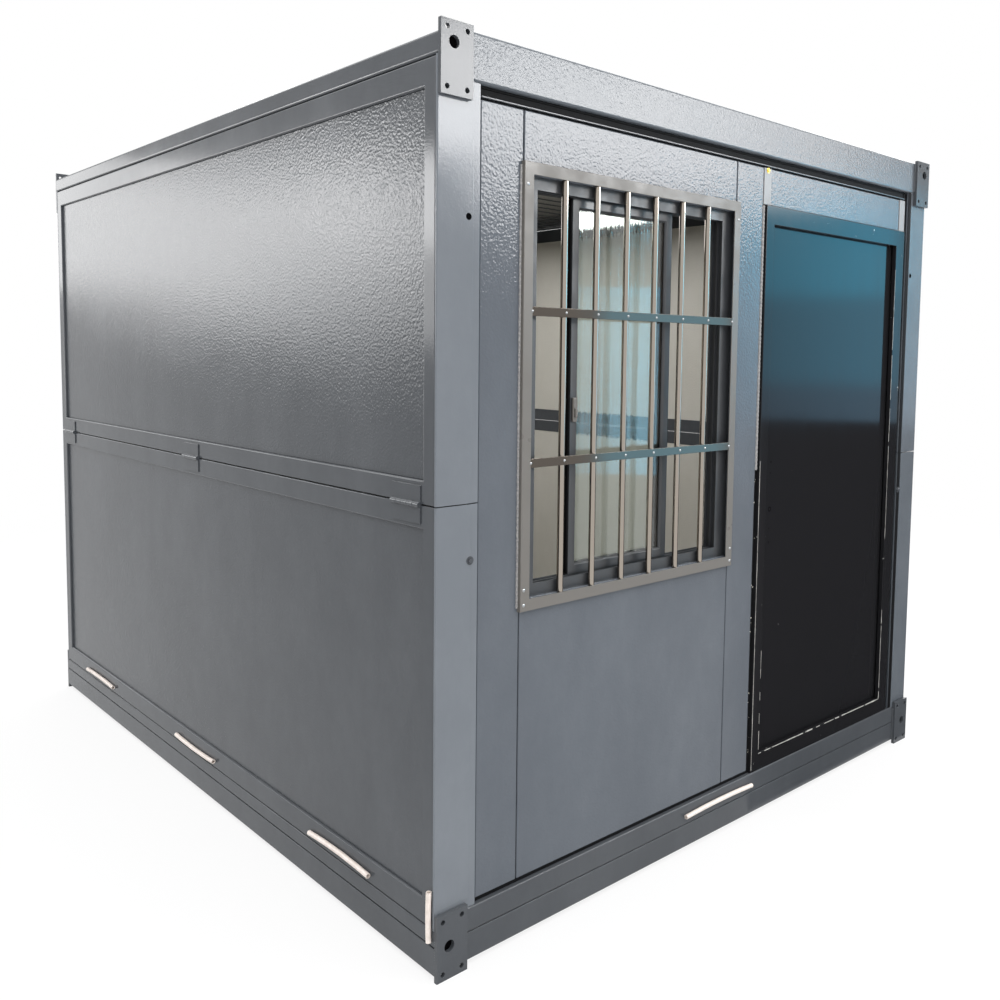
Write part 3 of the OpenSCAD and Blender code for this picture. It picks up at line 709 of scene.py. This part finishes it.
HOLE_X, HOLE_Z, HOLE_R = BODY_LEFT + POST_W - 15 * MM, 1.985, 9 * MM
for side, x, coat in (("left", 1, post_paint), ("right", -1, beam_paint)):
    piece(f"post_{side}_lower", scaled(lower_post, x, 1), coat,
          stands_for=[f"post_front_{side}_lower"])
    post = piece(f"post_{side}_upper", scaled(upper_post, x, 1), coat,
                 stands_for=[f"post_front_{side}_upper"])
    with_hole(post, (x * HOLE_X, low.y, HOLE_Z), HOLE_R, 6 * MM)
# black plugs inside the service holes are painted shade
plugs = [turned([(HOLE_R, 0.5 * MM), (HOLE_R, 6 * MM), (1e-5, 6 * MM)],
                (x * HOLE_X, low.y, HOLE_Z), "y", 32) for x in (1, -1)]
piece("post_hole_painted_shade", joined(plugs), hole_shade_and_cloth_black)
for half, shape in (("lower", lower_post), ("upper", upper_post)):
    piece(f"posts_rear_{half}", joined([scaled(shape, x, -1) for x in (1, -1)]), post_paint,
          stands_for=[f"rear_posts_{half}"])
print("posts:", round(POST_W, 3), "m wide")

# %% [markdown]
# ## Side leaves
# Each long side is two framed leaves. The frame is an outline carried round a rectangle,
# with a soft fold outside and a small lip where it holds the panel. The panel sits 9 mm
# back, and its sheet is embossed like stucco. Inside, it has a cream skin of its own.

# %% Leaves and their panels
STILE, OUTER_RAIL, FOLD_RAIL, SKIN_T = 50 * MM, 69 * MM, 62 * MM, 7 * MM
NOMINAL = 40 * MM


def leaf(name, lower_rail, upper_rail):
    """The frame's section: full depth outside, and a lip that steps back to the panel."""
    low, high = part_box(f"left_{name}_frame")
    x0, x1 = low.x, high.x
    corners = [(0, x0), (NOMINAL - 3 * MM, x0), (NOMINAL, x0 + 4 * MM), (NOMINAL, x1), (0, x1)]
    section = rounded(corners, np.array([4, 2, 1.5, 2, 2]) * MM)
    ring = framed(low, high, (STILE, lower_rail, STILE, upper_rail), section, "x", NOMINAL)
    low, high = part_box(f"left_{name}_panel")
    board = slab(low, high, 1.5 * MM)
    lining = slab((high.x, low.y, low.z), (high.x + SKIN_T, high.y, high.z), 1.5 * MM)
    for side, x in (("left", 1), ("right", -1)):
        piece(f"{side}_{name}_leaf_frame", scaled(ring, x, 1), steel_paint,
              stands_for=[f"{side}_{name}_frame"])
        piece(f"{side}_{name}_leaf_panel", scaled(board, x, 1), embossed_paint,
              stands_for=[f"{side}_{name}_panel"])
        piece(f"{side}_{name}_lining", scaled(lining, x, 1), lining_paint)


leaf("lower", OUTER_RAIL, FOLD_RAIL)
leaf("upper", FOLD_RAIL, OUTER_RAIL)

# %% [markdown]
# ## Fold hinges
# A heavy hinge is welded over the fold line in three places on each side. It has two
# flaps and five knuckles on one pin. Each knuckle is a profile with rounded rims, turned
# round the pin, and each flap is a slab with round edges.

# %% Fold hinges
HINGE_L, FLAP_T, KNUCKLES, RIM, PLAY = 128 * MM, 4 * MM, 5, 1 * MM, 0.3 * MM
low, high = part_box("left_fold_hinges")
fold_z = (low.z + high.z) / 2
flap_x = BODY_LEFT - FLAP_T
barrel_r = flap_x - low.x


def fold_hinge(middle):
    """Two flaps that leave 3 mm between them, and the knuckles along the pin."""
    parts = []
    for z0, z1 in ((low.z, fold_z - 1.5 * MM), (fold_z + 1.5 * MM, high.z)):
        parts.append(slab((flap_x, middle - HINGE_L / 2, z0), (BODY_LEFT, middle + HINGE_L / 2, z1),
                          1.2 * MM, "x"))
    pitch = HINGE_L / KNUCKLES
    profile = [(barrel_r - RIM, PLAY), (barrel_r, PLAY + RIM), (barrel_r, pitch - PLAY - RIM),
               (barrel_r - RIM, pitch - PLAY)]
    for k in range(KNUCKLES):
        start = middle - HINGE_L / 2 + k * pitch
        parts.append(turned(profile, (flap_x, start, fold_z), "y", 20))
    return parts


first = high.y - HINGE_L / 2
hinge_parts = [part for y in (-first, 0, first) for part in fold_hinge(y)]
pair("fold_hinges_{}", "{}_fold_hinges", joined(hinge_parts), steel_paint)
print("fold hinges on each side: 3, with", KNUCKLES, "knuckles each")

# %% [markdown]
# ## The front wall
# The wall is built of sandwich panels that stand side by side with a 3 mm joint. Each
# outer sheet is folded back at its edges, so each joint is a dark line between two bright
# ones. Slabs with a 3 mm edge radius show just that. A cream skin closes the inside.

# %% Wall panels
EDGE_R, LINING_T = 3 * MM, 4 * MM
FRONT_PANELS = ("wall_filler_panel", "wall_below_window", "wall_above_window",
                "wall_jamb_panel", "wall_lintel_panel")
inner_skins = []
for node in FRONT_PANELS:
    low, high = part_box(node)
    piece(node.replace("wall_", "front_"), slab(low, high, EDGE_R), panel_paint,
          stands_for=[node])
    inner_skins.append(slab((low.x, high.y, low.z), (high.x, high.y + LINING_T, high.z), 1 * MM))
piece("front_lining", joined(inner_skins), lining_paint)

low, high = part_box("rear_wall_panels")
JOINT = 3 * MM
width = (high.x - low.x - 2 * JOINT) / 3
starts = [low.x + i * (width + JOINT) for i in range(3)]
boards = [slab((x, low.y, low.z), (x + width, high.y, high.z), EDGE_R) for x in starts]
skins = [slab((x, low.y - LINING_T, low.z), (x + width, low.y, high.z), 1 * MM) for x in starts]
piece("rear_panels", joined(boards), embossed_paint, stands_for=["rear_wall_panels"])
piece("rear_lining", joined(skins), lining_paint)
low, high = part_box("front_top_channel")
RAIL_BACK, LIP_LOW, LIP_HIGH, STRIP_T = 14 * MM, 6 * MM, 10 * MM, 5 * MM
rail_y = low.y + 2 * MM
back_y = rail_y + RAIL_BACK
rail = joined([
    slab((low.x, back_y, low.z), (high.x, high.y, high.z), 1 * MM),
    slab((low.x, rail_y, low.z + LIP_LOW), (high.x, back_y + 1 * MM, low.z + LIP_HIGH), 1 * MM,
         "x")])
piece("front_top_rail", rail, steel_paint, stands_for=["front_top_channel"])
# black strips are painted shadow over and under the rail's lip, in the black of the rubber
shades = [slab((low.x, back_y - STRIP_T, z0), (high.x, back_y, z1), 0.5 * MM)
          for z0, z1 in ((low.z + 1 * MM, low.z + LIP_LOW), (low.z + LIP_HIGH, high.z - 1 * MM))]
piece("roof_joint_painted_shadow", joined(shades), rubber_and_shade_black)
finish_node("rear_top_channel", steel_paint)
finish_node("front_wall_seals", rubber_and_shade_black)
# a black strip in the gap between the wall and the right post is painted shade
post_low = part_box("post_front_right_lower")[0]
post_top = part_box("post_front_right_upper")[1].z
right_gap_shade = slab((post_low.x + 1 * MM, post_low.y + 1 * MM, post_low.z + 4 * MM),
             (post_low.x + 22 * MM, post_low.y + 5 * MM, post_top - 4 * MM), 1.5 * MM)
piece("right_joint_painted_shade", right_gap_shade, rubber_and_shade_black)

# %% Lintel trims
low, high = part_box("lintel_trims")
TRIM_W = 42 * MM
# the trims' pale grey is painted sheen
trims = [slab((x, low.y, low.z), (x + TRIM_W, high.y, high.z), 2 * MM)
         for x in (low.x, high.x - TRIM_W)]
piece("lintel_end_trims", joined(trims), trim_grey_with_painted_sheen,
      stands_for=["lintel_trims"])
print("front wall panels:", len(FRONT_PANELS))

# %% [markdown]
# ## The window
# A sliding window of powder-coated aluminium: a frame with two tracks, and sashes that
# run in them. Here both sashes stand one behind the other, and air comes in on both
# sides of them. The track is part of the frame's outline, so the outline has ridges.

# %% Window frame and sashes
FRAME_MEMBER, GRILLE_MEMBER = 34 * MM, 33 * MM
frame_low, frame_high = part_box("window_frame")
grille_low, grille_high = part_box("window_grille")
hole_left, hole_right = grille_low.x + GRILLE_MEMBER, grille_high.x - GRILLE_MEMBER
widths = (hole_left - frame_low.x + FRAME_MEMBER, FRAME_MEMBER,
          frame_high.x - hole_right + FRAME_MEMBER, FRAME_MEMBER)
y0, y1 = frame_low.y, frame_high.y
M, TRACK, RIDGE_T = NOMINAL, 10 * MM, 3 * MM
RIDGES = (0, 20 * MM, 42 * MM)
track_corners = [(0, y0)]
for ridge, floor_end in zip(RIDGES, (y0 + RIDGES[1], y0 + RIDGES[2], y1)):
    track_corners += [(M, y0 + ridge), (M, y0 + ridge + RIDGE_T),
                      (M - TRACK, y0 + ridge + RIDGE_T), (M - TRACK, floor_end)]
track_corners.append((0, y1))
window_ring = framed(frame_low, frame_high, widths, rounded(track_corners, 0.5 * MM, 2), "y", M)
piece("window_track_frame", window_ring, aluminium, stands_for=["window_frame"])

SASH_MEMBER = 30 * MM
sash_low, sash_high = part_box("window_sash")


def sash_ring(low, high):
    """A sash section: rounded outside, with a bead that steps down to the glass."""
    depth = high.y - low.y
    corners = [(0, 0), (M - 5 * MM, 0), (M, 5 * MM), (M, depth - 5 * MM), (M - 5 * MM, depth),
               (0, depth)]
    section = rounded(corners, 1.2 * MM, 3) + np.array([0, low.y])
    return framed(low, high, (SASH_MEMBER,) * 4, section, "y", M)


rear_sash = sash_ring(sash_low, sash_high)
piece("window_sash_inner", rear_sash, aluminium, stands_for=["window_sash"])
SASH_STEP, SASH_SHIFT = 20 * MM, -10 * MM
piece("window_sash_outer", moved(rear_sash, SASH_SHIFT, SASH_STEP), aluminium)
finish_node("window_glass", float_glass)
glass_low, glass_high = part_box("window_glass")
outer_glass = slab(glass_low, glass_high, 0.5 * MM)
piece("window_glass_outer", moved(outer_glass, SASH_SHIFT, SASH_STEP), float_glass)

# %% Brush seals and latches
brushes, latches = [], []
for x, out in ((sash_low.x, -1), (sash_high.x, 1)):
    x0, x1 = sorted((x, x + out * 5 * MM))
    brushes.append(slab((x0, sash_low.y + 3 * MM, sash_low.z + 4 * MM),
                        (x1, sash_high.y - 3 * MM, sash_high.z - 4 * MM), 1 * MM))
    x2, z2 = x + out * -14 * MM, (sash_low.z + sash_high.z) / 2 - 60 * MM
    face = sash_low.y + SASH_STEP if out > 0 else sash_low.y
    # a base plate, and the thumb piece on it: half width, front, back, foot, top, edge
    for w, front, back, foot, top, edge in ((9, 8, 0, 35, 35, 3), (5, 14, 7, 22, 4, 2.5)):
        latches.append(slab((x2 - w * MM, face - front * MM, z2 - foot * MM),
                            (x2 + w * MM, face - back * MM, z2 + top * MM), edge * MM))
piece("window_brush_seals", joined(brushes), pile)
piece("window_latches", joined(latches), grille_steel)
print("window opening:", round(hole_right - hole_left, 3), "m wide")

# %% [markdown]
# ## The bars in front of the window
# A frame of stainless angle is screwed to the wall. Six tubes stand in it, and two flat
# straps cross in front of them, with a screw at each tube. The angle's outline is an L:
# a flat leg against the view and a leg back to the wall.

# %% Grille frame, tubes, straps and screws
ANGLE_T, BAR_D, BAR_COUNT = 3 * MM, 19 * MM, 6
STRAP_H, STRAP_T, STRAP_LEVELS = 25 * MM, 3 * MM, (1.344, 1.756)
y0, y1 = grille_low.y, grille_high.y
angle_corners = [(0, y0), (M, y0), (M, y0 + ANGLE_T), (ANGLE_T, y0 + ANGLE_T), (ANGLE_T, y1),
                 (0, y1)]
angle_ring = framed(grille_low, grille_high, (GRILLE_MEMBER,) * 4,
                    rounded(angle_corners, np.array([2.5, 1, 1, 1.5, 0.8, 0.8]) * MM), "y", M)
bar_y = y0 + STRAP_T + BAR_D / 2
bar_x = hole_left + (hole_right - hole_left) * np.arange(1, BAR_COUNT + 1) / (BAR_COUNT + 1)
TUCK = GRILLE_MEMBER - 8 * MM
z0, z1 = grille_low.z + TUCK, grille_high.z - TUCK
bars = [tube([(x, bar_y, z) for z in np.linspace(z0, z1, 4)], BAR_D / 2, sides=28)
        for x in bar_x]
piece("window_bars_frame", angle_ring, grille_steel,
      stands_for=["window_grille"])
piece("window_bar_tubes", joined(bars), bar_steel)
straps = [slab((hole_left - 10 * MM, y0, z - STRAP_H / 2),
               (hole_right + 10 * MM, y0 + STRAP_T, z + STRAP_H / 2), 1 * MM, "y")
          for z in STRAP_LEVELS]
piece("window_bar_straps", joined(straps), flat_steel)


def screw(x, y, z, radius=5 * MM, height=2.2 * MM):
    """A pan head: a quarter ellipse turned round Y, with a sunk recess in its middle."""
    a = np.linspace(0, math.pi / 2, 6)
    dome = [(radius * math.cos(t), -height * math.sin(t)) for t in a[:-2]]
    profile = [(radius, 0.5 * MM)] + dome + [(0.32 * radius, -height * 0.98),
                                             (0.2 * radius, -height * 0.35), (1e-5, -height * 0.3)]
    return turned(profile, (x, y, z), "y", 16)


strap_x = [hole_left, *bar_x.tolist(), hole_right]
heads = [screw(x, y0, z, 4 * MM) for z in STRAP_LEVELS for x in strap_x]
corner_x = (grille_low.x + 12 * MM, grille_high.x - 12 * MM)
corner_z = (grille_low.z + 60 * MM, grille_low.z + 18 * MM, grille_high.z - 60 * MM)
heads += [screw(x, y0, z, 5 * MM) for x in corner_x for z in corner_z]
piece("window_bar_screws", joined(heads), hinge_steel)
print("tubes:", len(bars), "screws:", len(heads))

# %% [markdown]
# ## The door
# The pressed steel frame stands a little proud of the wall. Its outline turns in to a
# stop, and behind the stop is a rebate where the leaf closes. The leaf is a flush slab.
# Its lock was never fitted, so only the drilled holes show, with painted shade in them, and scuffed
# paint with painted highlights on the edges.

# %% Door frame and leaf
low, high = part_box("door_frame")
leaf_low, leaf_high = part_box("door_leaf")
STOP_T, REBATE, DOOR_MEMBER, DOOR_LEFT = 16 * MM, 19 * MM, 64 * MM, 48 * MM
d0, d1 = low.y, high.y
casing = [(0, d0), (M, d0), (M, d0 + STOP_T), (M - REBATE, d0 + STOP_T), (M - REBATE, d1),
          (0, d1)]
door_ring = framed(low, high, (DOOR_LEFT, DOOR_MEMBER, DOOR_MEMBER, DOOR_MEMBER),
                   rounded(casing, np.array([2.5, 2.5, 1.5, 1, 1, 1.5]) * MM), "y", M)
piece("door_casing", door_ring, frame_paint, stands_for=["door_frame"])
piece("door_slab", slab(leaf_low, leaf_high, 2.5 * MM), door_paint, "door",
      stands_for=["door_leaf"])
finish_node("door_hinge_pins", hinge_steel)
finish_node("door_hinge_knuckles", hinge_steel)

# %% Lock holes, with painted shade in them
DOOR_LAP, BACKSET, LOCK_Z = 12 * MM, 52 * MM, 1.10
LOCK_HOLES = ((0.17, 4), (0.13, 3), (0.0, 9), (-0.07, 3), (-0.12, 4))
holes = []
for dz, r in LOCK_HOLES:
    pit = 0.6 * r * MM
    holes.append(turned([(r * MM, 0.2 * MM), (r * MM, -0.3 * MM), (pit, -0.3 * MM),
                         (pit, 1 * MM), (1e-5, 1 * MM)],
                        (leaf_low.x + DOOR_LAP + BACKSET, leaf_low.y, LOCK_Z + dz), "y", 20))
# the holes are black discs and pits on the slab: painted shade
piece("door_lock_holes_painted_shade", joined(holes), hole_shade_and_cloth_black, "door")
print("door leaf:", round(leaf_high.x - leaf_low.x, 3), "m wide")

# %% Worn edges and painted edge highlights
# along the edges of the recess, short thin pale flakes laid end to end: partly paint worn to the
# primer, partly painted highlight where the lit edges and the reveal's top catch the light
recess_left, recess_right = low.x + DOOR_LEFT, high.x - DOOR_MEMBER
recess_low = low.z + DOOR_MEMBER
rng = np.random.default_rng(11)
EDGE_W, FLAKE_T = 2.2 * MM, 0.25 * MM


def flakes_along(start, end, share, width):
    """Cuts a straight edge into bits of 8 to 40 mm and keeps the given share of them."""
    start, end = np.array(start, float), np.array(end, float)
    length = np.linalg.norm(end - start)
    cuts = np.cumsum(rng.uniform(8, 40, int(length / (8 * MM))) * MM)
    cuts = np.concatenate([[0.0], cuts[cuts < length], [length]])
    flakes = []
    for s0, s1 in zip(cuts[:-1], cuts[1:]):
        if rng.random() < share and s1 - s0 > 2 * MM:
            a, b = start + (end - start) * s0 / length, start + (end - start) * s1 / length
            w = width * rng.uniform(0.5, 1.2)
            (x0, _, z0), (x1, _, z1) = np.minimum(a, b) - w / 2, np.maximum(a, b) + w / 2
            flakes.append(slab((x0, d0 - FLAKE_T, z0), (x1, d0 + 1 * MM, z1), 0.3 * MM))
    return flakes


# each edge: from (x, z), to (x, z), the share that is pale with wear and painted highlight, and the
# width of that pale strip
foot_z, left_x, right_x, outer_x = (recess_low - 3 * MM, recess_left - 3 * MM,
                                    recess_right + 2 * MM, low.x + 4 * MM)
WORN_AND_LIT_EDGES = (((recess_left, foot_z), (recess_right, foot_z), 0.75, 4 * MM),
        ((left_x, recess_low), (left_x, 0.62), 0.5, EDGE_W),
        ((right_x, recess_low), (right_x, 0.6), 0.8, EDGE_W),
        ((right_x, 0.9), (right_x, 2.0), 0.95, 1.6 * MM),
        ((outer_x, low.z + 10 * MM), (outer_x, 1.28), 0.97, 2 * MM))
paler_marks = [flake for (xa, za), (xb, zb), share, width in WORN_AND_LIT_EDGES
        for flake in flakes_along((xa, d0, za), (xb, d0, zb), share, width)]
piece("door_worn_and_highlit_edges", joined(paler_marks), primer_and_edge_highlight)
print("flakes:", len(paler_marks))

# %% [markdown]
# ## Hose lengths
# Short lengths of soft hose are fixed along the foot of the walls, to keep the straps of
# a lorry off the paint. A hose is a hollow tube on a path that bows a little.

# %% Hoses
HOSE_R, HOSE_BORE = 7.5 * MM, 5 * MM
SIDE_L, SIDE_Y, SIDE_Z = 335 * MM, (-1.027, 0.0, 1.027), 166 * MM
END_L, END_X, END_Z = 364 * MM, -54 * MM, 122 * MM
CORNER_L, CORNER_Z = 136 * MM, 175 * MM
t = np.linspace(-1, 1, 17)


def bowed(middle, along, across, length, bow):
    """Points middle + t L/2 along, lifted by bow (1 - t^2) across."""
    middle, along, across = (np.array(v, float) for v in (middle, along, across))
    points = middle + np.outer(t * length / 2, along) + np.outer(bow * (1 - t**2), across)
    return tube(points, HOSE_R, HOSE_BORE)


hose_x, hose_y = BODY_LEFT - HOSE_R, BODY_FRONT - HOSE_R
bows = (6 * MM, -5 * MM, 4 * MM)
side_hoses = [bowed((hose_x, y, SIDE_Z), (0, 1, 0), (0, 0, 1), SIDE_L, b)
              for y, b in zip(SIDE_Y, bows)]
side_hoses.append(bowed((hose_x, BODY_FRONT + 15 * MM, CORNER_Z), (0, 0, 1), (0, 1, 0),
                        CORNER_L, 2 * MM))
end_hose = bowed((END_X, hose_y, END_Z), (1, 0, 0), (0, 0, 1), END_L, 5 * MM)
all_hoses = [scaled(h, x, 1) for h in side_hoses for x in (1, -1)]
all_hoses += [end_hose, scaled(end_hose, -1, -1)]
piece("hose_lengths", joined(all_hoses), hose_plastic, stands_for=["hose_grips"])
print("hose lengths:", len(all_hoses))

# %% [markdown]
# ## Sealant, foam and bolts
# Small things tell of the fitter's work: a bead of sealant down the door's side, crumbs
# of foam in the joint beneath it, and a few bolt heads.

# %% Sealant, foam crumbs and bolts
jamb_low, jamb_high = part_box("wall_jamb_panel")
door_low, door_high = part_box("door_frame")
seam_x = (jamb_high.x + door_low.x) / 2
wall_y = jamb_low.y
seal_x, grille_x = jamb_high.x + 4 * MM, grille_low.x - 2 * MM
seam = bead((seal_x, wall_y + 1 * MM, 1.25), (seal_x, wall_y + 1 * MM, door_high.z - 4 * MM),
            5 * MM, 14 * MM)
window_seam = bead((grille_x, wall_y - 1 * MM, grille_low.z + 10 * MM),
                   (grille_x, wall_y - 1 * MM, grille_high.z - 10 * MM), 3.5 * MM, 18 * MM)
piece("sealant_beads", joined([seam, window_seam]), sealant)

rng = np.random.default_rng(7)
CRUMBS = 16
# 16 crumbs: their place across the joint, their height and their radius
crumb_x = seam_x + rng.uniform(-7, 7, CRUMBS) * MM
crumb_z = rng.uniform(0.2, 1.22, CRUMBS)
crumb_r = rng.uniform(1.0, 2.6, CRUMBS) * MM
a = np.linspace(0, math.pi, 6)
crumbs = [turned([(max(1e-5, r * math.sin(s)), -r * math.cos(s) * 0.6) for s in a],
                 (x, wall_y + 4 * MM, z), "y", 8) for x, z, r in zip(crumb_x, crumb_z, crumb_r)]
piece("foam_crumbs", joined(crumbs), foam)


def hexagon_bolt(x, y, z, across=13 * MM, height=6 * MM):
    """A six-sided head with a chamfer, on a round washer; it points along -Y."""
    r = across / 2 / math.cos(math.pi / 6)
    head = turned([(r, 0), (r, -height * 0.8), (r * 0.86, -height), (1e-5, -height)],
                  (x, y, z), "y", 6)
    washer = turned([(r * 1.5, 0.5 * MM), (r * 1.5, -1.2 * MM), (1e-5, -1.2 * MM)], (x, y, z),
                    "y", 24)
    return [head, washer]


post_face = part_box("post_front_left_lower")[0].y
BOLT_PLACES = ((-1.140, 1.103), (1.121, 1.097))
bolts = [part for x, z in BOLT_PLACES for part in hexagon_bolt(x, post_face, z)]
piece("post_bolts", joined(bolts), steel_paint)
trim_low, trim_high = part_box("lintel_trims")
piece("trim_bolt", joined(hexagon_bolt(trim_low.x + 20 * MM, trim_low.y, trim_high.z - 8 * MM,
                                       10 * MM, 4 * MM)), yellow_zinc)

# %% [markdown]
# ## Floor and light
# The house stands on a pale studio floor. The camera, glossy and clear surfaces see a
# white room; what lights the house is one huge soft lamp overhead and the world at a low
# level. A small lamp shows the inside of the room.


# %% Studio floor
def seen_directly(tree):
    """1 for camera, glossy and transmitted rays, and 0 for the rays that carry light."""
    rays = add(tree, "ShaderNodeLightPath").outputs
    seen = rays["Is Camera Ray"]
    for kind in ("Is Glossy Ray", "Is Transmission Ray"):
        seen = add(tree, "ShaderNodeMath", {0: seen, 1: rays[kind]},
                   operation="MAXIMUM").outputs[0]
    return seen


grid = np.linspace(-30, 30, 25)
xs, ys = np.meshgrid(grid, grid, indexing="ij")
floor_mesh = new_mesh("studio_floor", skin(np.stack([xs, ys, np.zeros_like(xs)], 2),
                                           closed_columns=False, caps=False), solid=False)
studio_floor = new_object("studio_floor", floor_mesh)
floor_paint, tree, shader, place = new_material("painted_studio_floor")
set_shader(tree, shader, Base_Color=colour("#e9e9e9"), Roughness=0.8)
glow = add(tree, "ShaderNodeEmission", {"Color": (1, 1, 1, 1), "Strength": 1.0})
# the floor near the house stays a little darker, so that the house stands on it
reach = add(tree, "ShaderNodeVectorMath", {0: place}, operation="LENGTH").outputs["Value"]
share = add(tree, "ShaderNodeMath", {0: seen_directly(tree),
                                     1: spread(tree, reach, 0.82, 1.0, 2.5, 7.0)},
            operation="MULTIPLY")
blend = add(tree, "ShaderNodeMixShader", {0: share.outputs[0], 1: shader.outputs[0],
                                          2: glow.outputs[0]})
tree.links.new(blend.outputs[0], tree.nodes["Material Output"].inputs["Surface"])
floor_mesh.materials.append(floor_paint)

# %% White room
world = bpy.data.worlds.new("white_room")
bpy.context.scene.world = world
world.use_nodes = True
tree = world.node_tree
AMBIENT = 0.55
set_shader(tree, tree.nodes["Background"], Color=(1, 1, 1, 1),
           Strength=spread(tree, seen_directly(tree), AMBIENT, 1.0))


# %% Lamps
def lamp(name, place, aim, size, power, tint="#ffffff", only_reflected=False):
    """A rectangular lamp that faces aim; the camera never sees it."""
    data = bpy.data.lights.new(name, "AREA")
    data.shape, data.size, data.size_y = "RECTANGLE", size[0], size[1]
    data.energy, data.color = power, colour(tint)[:3]
    thing = new_object(name, data)
    ahead = np.array(aim, float) - np.array(place, float)
    ahead /= np.linalg.norm(ahead)
    helper = np.array([0.0, 0, 1]) if abs(ahead[2]) < 0.99 else np.array([0.0, 1, 0])
    side = np.cross(ahead, helper)
    side /= np.linalg.norm(side)
    axes = np.identity(4)
    axes[:3, 0], axes[:3, 1], axes[:3, 2], axes[:3, 3] = side, np.cross(side, ahead), -ahead, place
    thing.matrix_world = Matrix(axes.tolist())
    thing.visible_camera = False
    thing.visible_diffuse = not only_reflected


lamp("ceiling_softbox", (1.5, -2.5, 5.2), (1.5, -2.5, 0), (15, 15), 1500)
lamp("room_lamp", (0, 0.2, 2.27), (0, 0.2, 0), (1.6, 2.0), 26)
print("lamps:", [lamp_data.name for lamp_data in bpy.data.lights])

# %% [markdown]
# ### Cards for the gloss
# A flat glossy wall works as a mirror: it shows what an eye behind the wall would see,
# through the wall. So a card for the reflections is placed from that mirrored eye, by its
# bearing and by its height above the horizon, and its radiance times pi times its area is
# the power. The cards touch only the gloss. A black cloth darkens the door's foot.

# %% Cards and cloth
LEFT_EYE = (2 * BODY_LEFT - EYE[0], EYE[1])
FRONT_EYE = (EYE[0], 2 * BODY_FRONT - EYE[1])


def card(name, eye, bearings, heights, radiance, tint="#ffffff", reach=12.0, turn=0.0):
    """bearings and heights are spans in degrees, seen from the mirrored eye; turn is where
    bearing 0 points: 0 is +Y and 180 is -Y."""
    middle = math.radians(turn + sum(bearings) / 2)
    half = math.radians((bearings[1] - bearings[0]) / 2)
    low, high = (EYE[2] + reach * math.tan(math.radians(h)) for h in heights)
    z = (low + high) / 2
    place = (eye[0] + reach * math.sin(middle), eye[1] + reach * math.cos(middle), z)
    width, height = 2 * reach * math.tan(half), high - low
    power = radiance * math.pi * width * height
    lamp(name, place, (*eye, z), (width, height), power, tint, True)
    print("card", name, "at", [round(float(v), 2) for v in place], round(power), "W")


LEFT_CARDS = (
    ("far", (-21, -12), (3, 10), 2.7),
    ("middle", (-29, -21), (1.2, 10), 5.2),
    ("near_high", (-39, -29), (6, 11.5), 13.5),
    ("near_low", (-39, -29), (0.5, 6), 5.5))
FRONT_CARDS = (
    ("front_post", (-38.4, -34), (11.2, 18.5), 27.0, "#ffffff"),
    ("front_near", (-45.5, -38.4), (8.6, 18.5), 22.0, "#ffffff"),
    ("blue_metal", (-53, -45.5), (-7, 4), 1.4, "#10ccff"),
    ("front_middle", (-53, -45.5), (8.2, 17), 17.0, "#ffffff"),
    ("front_far", (-60, -53), (8.2, 15), 8.5, "#ffffff"),
    ("blue_high", (-62.3, -53), (3.5, 9), 6.5, "#20d0ff"),
    ("blue_middle", (-62.6, -54.3), (-1.5, 3.5), 3.6, "#10ccff"),
    ("blue_low", (-62.6, -54.6), (-4.5, -1.5), 1.8, "#10c0ff"))
for name, bearings, heights, radiance in LEFT_CARDS:
    card(f"card_left_{name}", LEFT_EYE, bearings, heights, radiance)
for name, bearings, heights, radiance, tint in FRONT_CARDS:
    card(f"card_{name}", FRONT_EYE, bearings, heights, radiance, tint, turn=180)
# plain cards for the two sides that are turned away
lamp("card_rear", (7, 10, 5), (7, 0, 5), (8, 2.6), 520, only_reflected=True)
lamp("card_right", (10.5, 3, 5), (0, 3, 5), (10, 2.6), 650, only_reflected=True)

# the cloth lies along the door's foot, runs out to the side and then stands up
CLOTH_LOW, CLOTH_HIGH = 0.002, 1.3
cloth_grid = np.array([[(0.16, -1.53, CLOTH_LOW), (1.3, -1.53, CLOTH_LOW)],
                       [(1.81, -2.70, CLOTH_LOW), (2.55, -1.6, CLOTH_LOW)],
                       [(1.81, -2.70, CLOTH_HIGH), (2.55, -1.6, CLOTH_HIGH)]])
cloth_mesh = new_mesh("black_cloth", skin(cloth_grid, closed_columns=False, caps=False),
                      solid=False)
cloth_mesh.materials.append(hole_shade_and_cloth_black)
cloth = new_object("black_cloth", cloth_mesh)
cloth.visible_camera = cloth.visible_diffuse = cloth.visible_shadow = False
